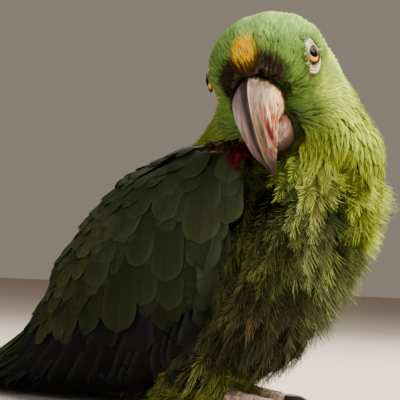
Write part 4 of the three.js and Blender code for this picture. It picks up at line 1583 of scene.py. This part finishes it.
def finish_horn(piece, material, slot, *replaced):
    """Smooths a horn piece or an eye, gives it its material and hands it over."""
    make_active(piece)
    bpy.ops.object.shade_smooth()
    piece.data.materials.clear()
    piece.data.materials.append(material)
    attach(piece, "root")
    if replaced:
        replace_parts(piece, *replaced)
    print(piece.name, len(piece.data.polygons), "faces")


finish_horn(upper_bill(), bill_horn, "horn", "bill_upper")
finish_horn(lower_bill(), bill_horn, "horn", "bill_lower")

# %% [markdown]
# Many finer hairs start on the horn close to the skin and lie over the
# bill's root, so that the edge between bill and face isn't a clean line.

# %% Hairs over the root of the bill
def bill_hairs():
    """Short dusky hairs that start by the cere and lie forward over the horn."""
    rng = np.random.default_rng(23)
    coat = Coat("bill_hairs", soft_feather, "plumage_dark")
    horn = Guide(bpy.data.objects["bill_upper_horn"].data, by_place=True)
    forward = unit(np.array([1.0, 0.0, -0.55])) @ HEAD_AXES.T
    keep = lambda p: (skin_guide.distance(p) < 4.6) * (to_head(p)[:, 2] > -9)
    roots = scatter(horn, 0.62, keep, 24)
    heading = unit(forward + 0.45 * rng.standard_normal((len(roots), 3)))
    lengths = 1.8 + 3.0 * rng.random(len(roots)) ** 1.5
    path, normals = lay(horn, roots, heading, lengths, 4)
    paler = rng.random(len(roots)) ** 2
    tint = blend(np.tile(shade(58, 46, 36), (len(roots), 1)), shade(104, 84, 64), paler)
    fringes(coat, path, normals, lengths, np.full(len(roots), 1.4), (0.3, 0.9), tint, rng,
            barbs=3, steps=4, thick=0.12, start=0.0, stop=0.3, reach=0.9, spread=30, curl=0.5,
            dark=0.8, bright=1.2)
    return coat.finish()


print("bill hairs:", len(bill_hairs().data.polygons), "faces")

# %% [markdown]
# An amazon's eye is a ball with a bulging clear front, an orange iris with a
# dark rim and a round pupil. It looks out through a small opening in bare
# white skin that lies in rings and folds round it.

# %% Eyeballs
GAZE = unit(np.array([0.40, 0.88, 0.34]))
BALL = 5.0         # radius of the eyeball
OPENING = 3.15     # half width of the opening of the lids


def gaze_axes(side):
    ahead = GAZE * [1, side, 1]
    over = unit(np.cross([0.0, 0.0, 1.0], ahead))
    return over, np.cross(ahead, over), ahead


def eye_material():
    material, tree, surface = new_material("wet_eye", {
        "Roughness": 0.22, "Specular IOR Level": 0.02, "Coat Weight": 0.025, "Coat Roughness": 0.03})
    place = node(tree, "ShaderNodeUVMap", uv_map="gaze")
    far = node(tree, "ShaderNodeVectorMath", operation="LENGTH")
    wire(tree, place, 0, far, 0)
    wobble = maths(tree, "MULTIPLY_ADD", (noise(tree, 1.6, 4.0, place), 0), 0.35, (far, 1))
    share = maths(tree, "DIVIDE", wobble, 5.0)
    bands = node(tree, "ShaderNodeValToRGB")
    stops = [(0.0, (0.002, 0.002, 0.003)), (0.50, (0.003, 0.002, 0.002)), (0.525, (0.40, 0.20, 0.01)),
             (0.58, (0.85, 0.46, 0.03)), (0.70, (0.80, 0.30, 0.012)), (0.80, (0.50, 0.11, 0.006)),
             (0.85, (0.02, 0.010, 0.008)), (1.0, (0.03, 0.02, 0.02))]
    for place_at, colour in stops:
        stop = bands.color_ramp.elements.new(place_at)
        stop.color = (*colour, 1.0)
    for _ in range(2):
        ends = bands.color_ramp.elements
        ends.remove(next(e for e in ends if tuple(e.color)[:3] in ((0.0, 0.0, 0.0), (1.0, 1.0, 1.0))))
    wire(tree, *share, bands, "Fac")
    wire(tree, bands, "Color", surface, "Base Color")
    return material


wet_eye = eye_material()


def eyeball(name, side, node_name):
    deselect()
    bpy.ops.mesh.primitive_uv_sphere_add(segments=64, ring_count=40, radius=1.0)
    piece = bpy.context.object
    piece.name = piece.data.name = name
    over, up, ahead = gaze_axes(side)
    ball = rod_points(piece)
    off = np.arctan2(np.hypot(ball[:, 0], ball[:, 1]), ball[:, 2])
    size = BALL - 0.25 + 0.4 * np.exp(-((off / 0.62) ** 4))
    local = (ball[:, :1] * over + ball[:, 1:2] * up + ball[:, 2:] * ahead) * size[:, None]
    mesh = piece.data
    move_points(mesh, from_head(local + eye_middle(side)))
    corners = np.empty(len(mesh.loops), np.int32)
    mesh.loops.foreach_get("vertex_index", corners)
    place = mesh.uv_layers.active
    place.name = "gaze"
    outward = ball[:, :2] / np.maximum(np.hypot(ball[:, 0], ball[:, 1]), 1e-6)[:, None]
    flat = outward * (off * BALL)[:, None]
    place.data.foreach_set("uv", flat[corners].astype(np.float32).ravel())
    make_active(piece)
    bpy.ops.object.mode_set(mode="EDIT")
    bpy.ops.mesh.select_all(action="SELECT")
    bpy.ops.mesh.normals_make_consistent(inside=False)
    bpy.ops.object.mode_set(mode="OBJECT")
    finish_horn(piece, wet_eye, "eye", node_name)
    return piece


for side, word in ((-1, "right"), (1, "left")):
    eyeball(f"eyeball_{word}", side, f"eye_{word}")

# %% [markdown]
# The lids are a patch of fine rings round each eye. They start tucked under
# the rim of the opening, swell over the ball, fall away in creases and end
# under the first feathers. They are joined to the skin as one object.

# %% Lids
LID_RINGS, LID_SPOKES = 46, 120
CORNER = math.radians(-35)     # the front corner of the opening points a little down
LID_REACH = 9.2    # radius of the lid patch


def lid_patch(side):
    turn = np.linspace(0, 2 * math.pi, LID_SPOKES, endpoint=False)[None, :]
    step = np.linspace(0, 1, LID_RINGS)[:, None]
    corner = np.abs(np.cos(turn - CORNER))
    opening = OPENING + 0.85 * corner**5 + 0 * step
    radius = opening + (LID_REACH - opening) * np.clip((step - 0.06) / 0.94, 0, 1) ** 1.25
    radius[0] -= 0.15
    x, z = radius * np.cos(turn), radius * np.sin(turn)
    gap = radius - opening
    ring = 0.5 + 3.5 * np.sqrt(np.clip(1 - (radius / 8.8) ** 2, 0.02, 1))
    over_ball = np.sqrt(np.clip((BALL + 0.50) ** 2 - radius**2, 0.1, None))
    lid = np.exp(-((gap / 1.3) ** 2))
    high = ring + (np.maximum(over_ball, ring) - ring) * np.clip(lid * 1.4, 0, 1)
    flat = np.stack([x.ravel(), z.ravel()], 1)
    wobble = waves(flat, 7.0, 31 + side).reshape(x.shape)
    fine = waves(flat, 2.0, 41 + side).reshape(x.shape)
    front = 0.5 + 0.5 * np.cos(turn - CORNER)
    rank = (gap - 0.30) / (0.95 + 0.35 * front) + 0.42 * wobble
    crease = hump(rank % 1.0, 0.5, 0.20)
    broken = np.clip(0.75 + 0.6 * waves(flat, 5.0, 51 + side).reshape(x.shape), 0, 1)
    crease *= broken * ramp(gap, 0.3, 0.8)
    high = high - (0.45 + 0.35 * front) * crease + 0.14 * fine * ramp(gap, 0.2, 1.0)
    high[0] -= 1.3
    ahead, up, out = lid_axes(side)
    points = eye_middle(side) + x[..., None] * ahead + z[..., None] * up + high[..., None] * out
    edge = 1 - 0.34 * ramp(np.cos(turn - 0.75), 0.0, 0.9)
    sink = ramp(radius / edge, 5.8, 7.8)[..., None]          # the outer rings settle onto the skin
    settled = to_head(skin_guide.settle(from_head(points.reshape(-1, 3)))[0]).reshape(points.shape)
    points = points + (settled - 0.15 * out - points) * sink
    by_feathers = ramp(eye_clear(from_head(points.reshape(-1, 3))), 0.90, 1.08)
    colours = paint(
        np.tile(shade(216, 194, 164), (points.shape[0] * points.shape[1], 1)),
        # Painted shade in the creases of the lids.
        ((70, 50, 40), np.clip(1.15 * crease, 0, 0.97).ravel()),
        ((186, 148, 126), np.clip(0.35 * fine + 0.15, 0, 0.6).ravel()),
        ((30, 22, 20), hump(gap, 0, 0.42).ravel() * 0.95),
        ((84, 100, 52), by_feathers * 0.95))
    return points, colours


def lids(side, word):
    points, colours = lid_patch(side)
    number = np.arange(points.shape[0] * points.shape[1]).reshape(points.shape[:2])
    before, after = number, np.roll(number, -1, axis=1)
    quads = np.stack([before[:-1], after[:-1], after[1:], before[1:]], -1).reshape(-1, 4)
    if side < 0:
        quads = quads[:, ::-1]
    mesh = bpy.data.meshes.new(f"lids_{word}")
    mesh.from_pydata(to_world(from_head(points.reshape(-1, 3))).tolist(), [], quads.tolist())
    piece = bpy.data.objects.new(mesh.name, mesh)
    bpy.context.scene.collection.objects.link(piece)
    set_tint(mesh, colours)
    return piece


def press_under_lids():
    """The main skin gives way below the lids and behind the ball."""
    local = to_head(points_of(skin.data))
    for side in (-1, 1):
        ahead, up, high = lid_place(from_head(local), side)
        out = lid_axes(side)[2]
        press = (1 - ramp(np.hypot(ahead, up), 6.8, 8.6)) * (high > -4.0)
        local -= 2.4 * press[:, None] * out
    move_points(skin.data, from_head(local))


press_under_lids()
lid_pieces = [lids(side, word) for side, word in ((-1, "right"), (1, "left"))]
print("lids", [len(piece.data.polygons) for piece in lid_pieces])

# %% [markdown]
# Claws are horn, grown from the toe ends. Each solid claw is copied, its loose
# triangles are merged, it is pushed out a little, and subdivision rounds it.

# %% Claws
claw_horn = horn_material("claw_horn", 0.40, 3.0, 0.2)


def claw(node_name):
    piece = grown_copies(node_name + "_horn", [node_name], 0.35)
    make_active(piece)
    subdivide = piece.modifiers.new("round", "SUBSURF")
    subdivide.levels = subdivide.render_levels = 2
    bpy.ops.object.modifier_apply(modifier=subdivide.name)
    points = np.maximum(points_of(piece.data), [-999, -999, 0.05])
    move_points(piece.data, points)
    foot_middle = box_middle("foot_" + node_name.split("_")[1])
    tip = ramp(np.linalg.norm(points - foot_middle + ORIGIN, axis=1), 8, 22)
    colours = blend(np.tile(shade(92, 80, 72), (len(points), 1)), shade(38, 34, 32), tip)
    if piece.data.uv_layers.active is None:
        piece.data.uv_layers.new(name="growth")
    give_values(piece, colours, np.stack([points[:, 1] + points[:, 2], points[:, 0]], 1))
    finish_horn(piece, claw_horn, "claw", node_name)


for side in SIDES:
    for toe in range(1, 5):
        claw(f"claw_{side}_{toe}")

# %% [markdown]
# The bare parts of the skin get their own detail. Round the nostrils and on
# the feet the mesh is divided again, so that the nostrils can be pressed in
# and the toes can carry small raised scales with grooves between them.

# %% Finer mesh where it is bare
bpy.data.objects.remove(form)


def divide_near(mask, cuts):
    """Subdivides the skin's faces whose first three corners are all in the mask."""
    make_active(skin)
    mesh = skin.data
    bpy.ops.object.mode_set(mode="EDIT")
    bpy.ops.mesh.select_mode(type="FACE")
    bpy.ops.mesh.select_all(action="DESELECT")
    bpy.ops.object.mode_set(mode="OBJECT")
    corners = np.array([tuple(face.vertices)[:3] for face in mesh.polygons])
    mesh.polygons.foreach_set("select", mask[corners].all(1))
    bpy.ops.object.mode_set(mode="EDIT")
    bpy.ops.mesh.subdivide(number_cuts=cuts, smoothness=0.6)
    bpy.ops.object.mode_set(mode="OBJECT")


def cells(points, size, seed):
    """0 on the border between two scales, up to 1 in the middle of one."""
    low = points.min(0) - size
    counts = np.ceil((points.max(0) + size - low) / size).astype(int)
    rng = np.random.default_rng(seed)
    grid = np.stack(np.meshgrid(*[np.arange(n) for n in counts], indexing="ij"), -1).reshape(-1, 3)
    seeds = low + (grid + rng.uniform(0.1, 0.9, grid.shape)) * size
    tree = KDTree(len(seeds))
    for index, seed_point in enumerate(seeds.tolist()):
        tree.insert(seed_point, index)
    tree.balance()
    found = [tree.find_n(point, 2) for point in points.tolist()]
    return np.clip(np.array([(pair[1][2] - pair[0][2]) for pair in found]) / (0.5 * size), 0, 1)


divide_near(bare_guide.distance(points_of(skin.data)) < 0.9, 1)
divide_near(from_nostril(points_of(skin.data)) < 4.0, 2)
print("skin now has", len(skin.data.polygons), "faces")


# %% Scales, nostrils and colours of the skin
def detail_skin():
    points, normals = points_of(skin.data), normals_of(skin.data)
    feet = 1 - ramp(bare_guide.distance(points), 0.4, 1.2)
    colours = plumage(points) * 0.45
    local = to_head(points)
    on_feet = np.flatnonzero(feet > 0.05)
    raised = np.zeros(len(points))
    raised[on_feet] = cells(points[on_feet], 1.5, 91)
    scale_share = ramp(raised, 0.05, 0.45)
    cere = (local[:, 0] > 17) * (1 - ramp(np.abs(local[:, 2] - 2.0), 6.0, 9.0))
    pit = from_nostril(points)
    hole, rim = hump(pit, 0, 1.0), hump(pit, 1.8, 0.6)
    colours = paint(
        colours,
        ((170, 146, 132), feet),
        ((92, 74, 66), feet * (1 - scale_share) * 0.9),
        ((52, 38, 32), cere * dusky_share(points)),
        ((74, 56, 48), 0.6 * rim),
        # Painted shade: near black in the nostril pits.
        ((6, 5, 5), np.clip(hole * 2.4, 0, 1)))
    moved = feet * (0.22 * scale_share - 0.12) - 1.4 * hole + 0.25 * rim
    points += normals * moved[:, None]
    points[:, 2] = np.maximum(points[:, 2], 0.02)
    move_points(skin.data, points)
    set_tint(skin.data, colours)


detail_skin()


def skin_material():
    material, tree, surface = new_material("bare_and_covered_skin", {
        "Roughness": 0.55, "Specular IOR Level": 0.15})
    where = node(tree, "ShaderNodeTexCoord")
    grain = noise(tree, 900.0, 4.0, where, "Object")
    pores = node(tree, "ShaderNodeTexVoronoi")
    pores.inputs["Scale"].default_value = 1500.0
    wire(tree, where, "Object", pores, "Vector")
    paint_tint(tree, surface, maths(tree, "MULTIPLY_ADD", (grain, 0), 0.6, 0.7))
    wire(tree, *maths(tree, "MULTIPLY_ADD", (grain, 0), 0.25, 0.45), surface, "Roughness")
    add_bump(tree, surface, maths(tree, "ADD", (pores, "Distance"), (grain, 0)), 0.4, 0.0002)
    return material


# %% One skin
deselect()
for piece in lid_pieces + [skin]:
    piece.select_set(True)
bpy.context.view_layer.objects.active = skin
bpy.ops.object.join()
make_active(skin)
bpy.ops.object.shade_smooth()
skin.data.materials.clear()
skin.data.materials.append(skin_material())
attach(skin, "root")
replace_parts(skin, *(HEAD_FLESH + TRUNK_FLESH + LEG_FLESH))
print("skin:", len(skin.data.polygons), "faces")
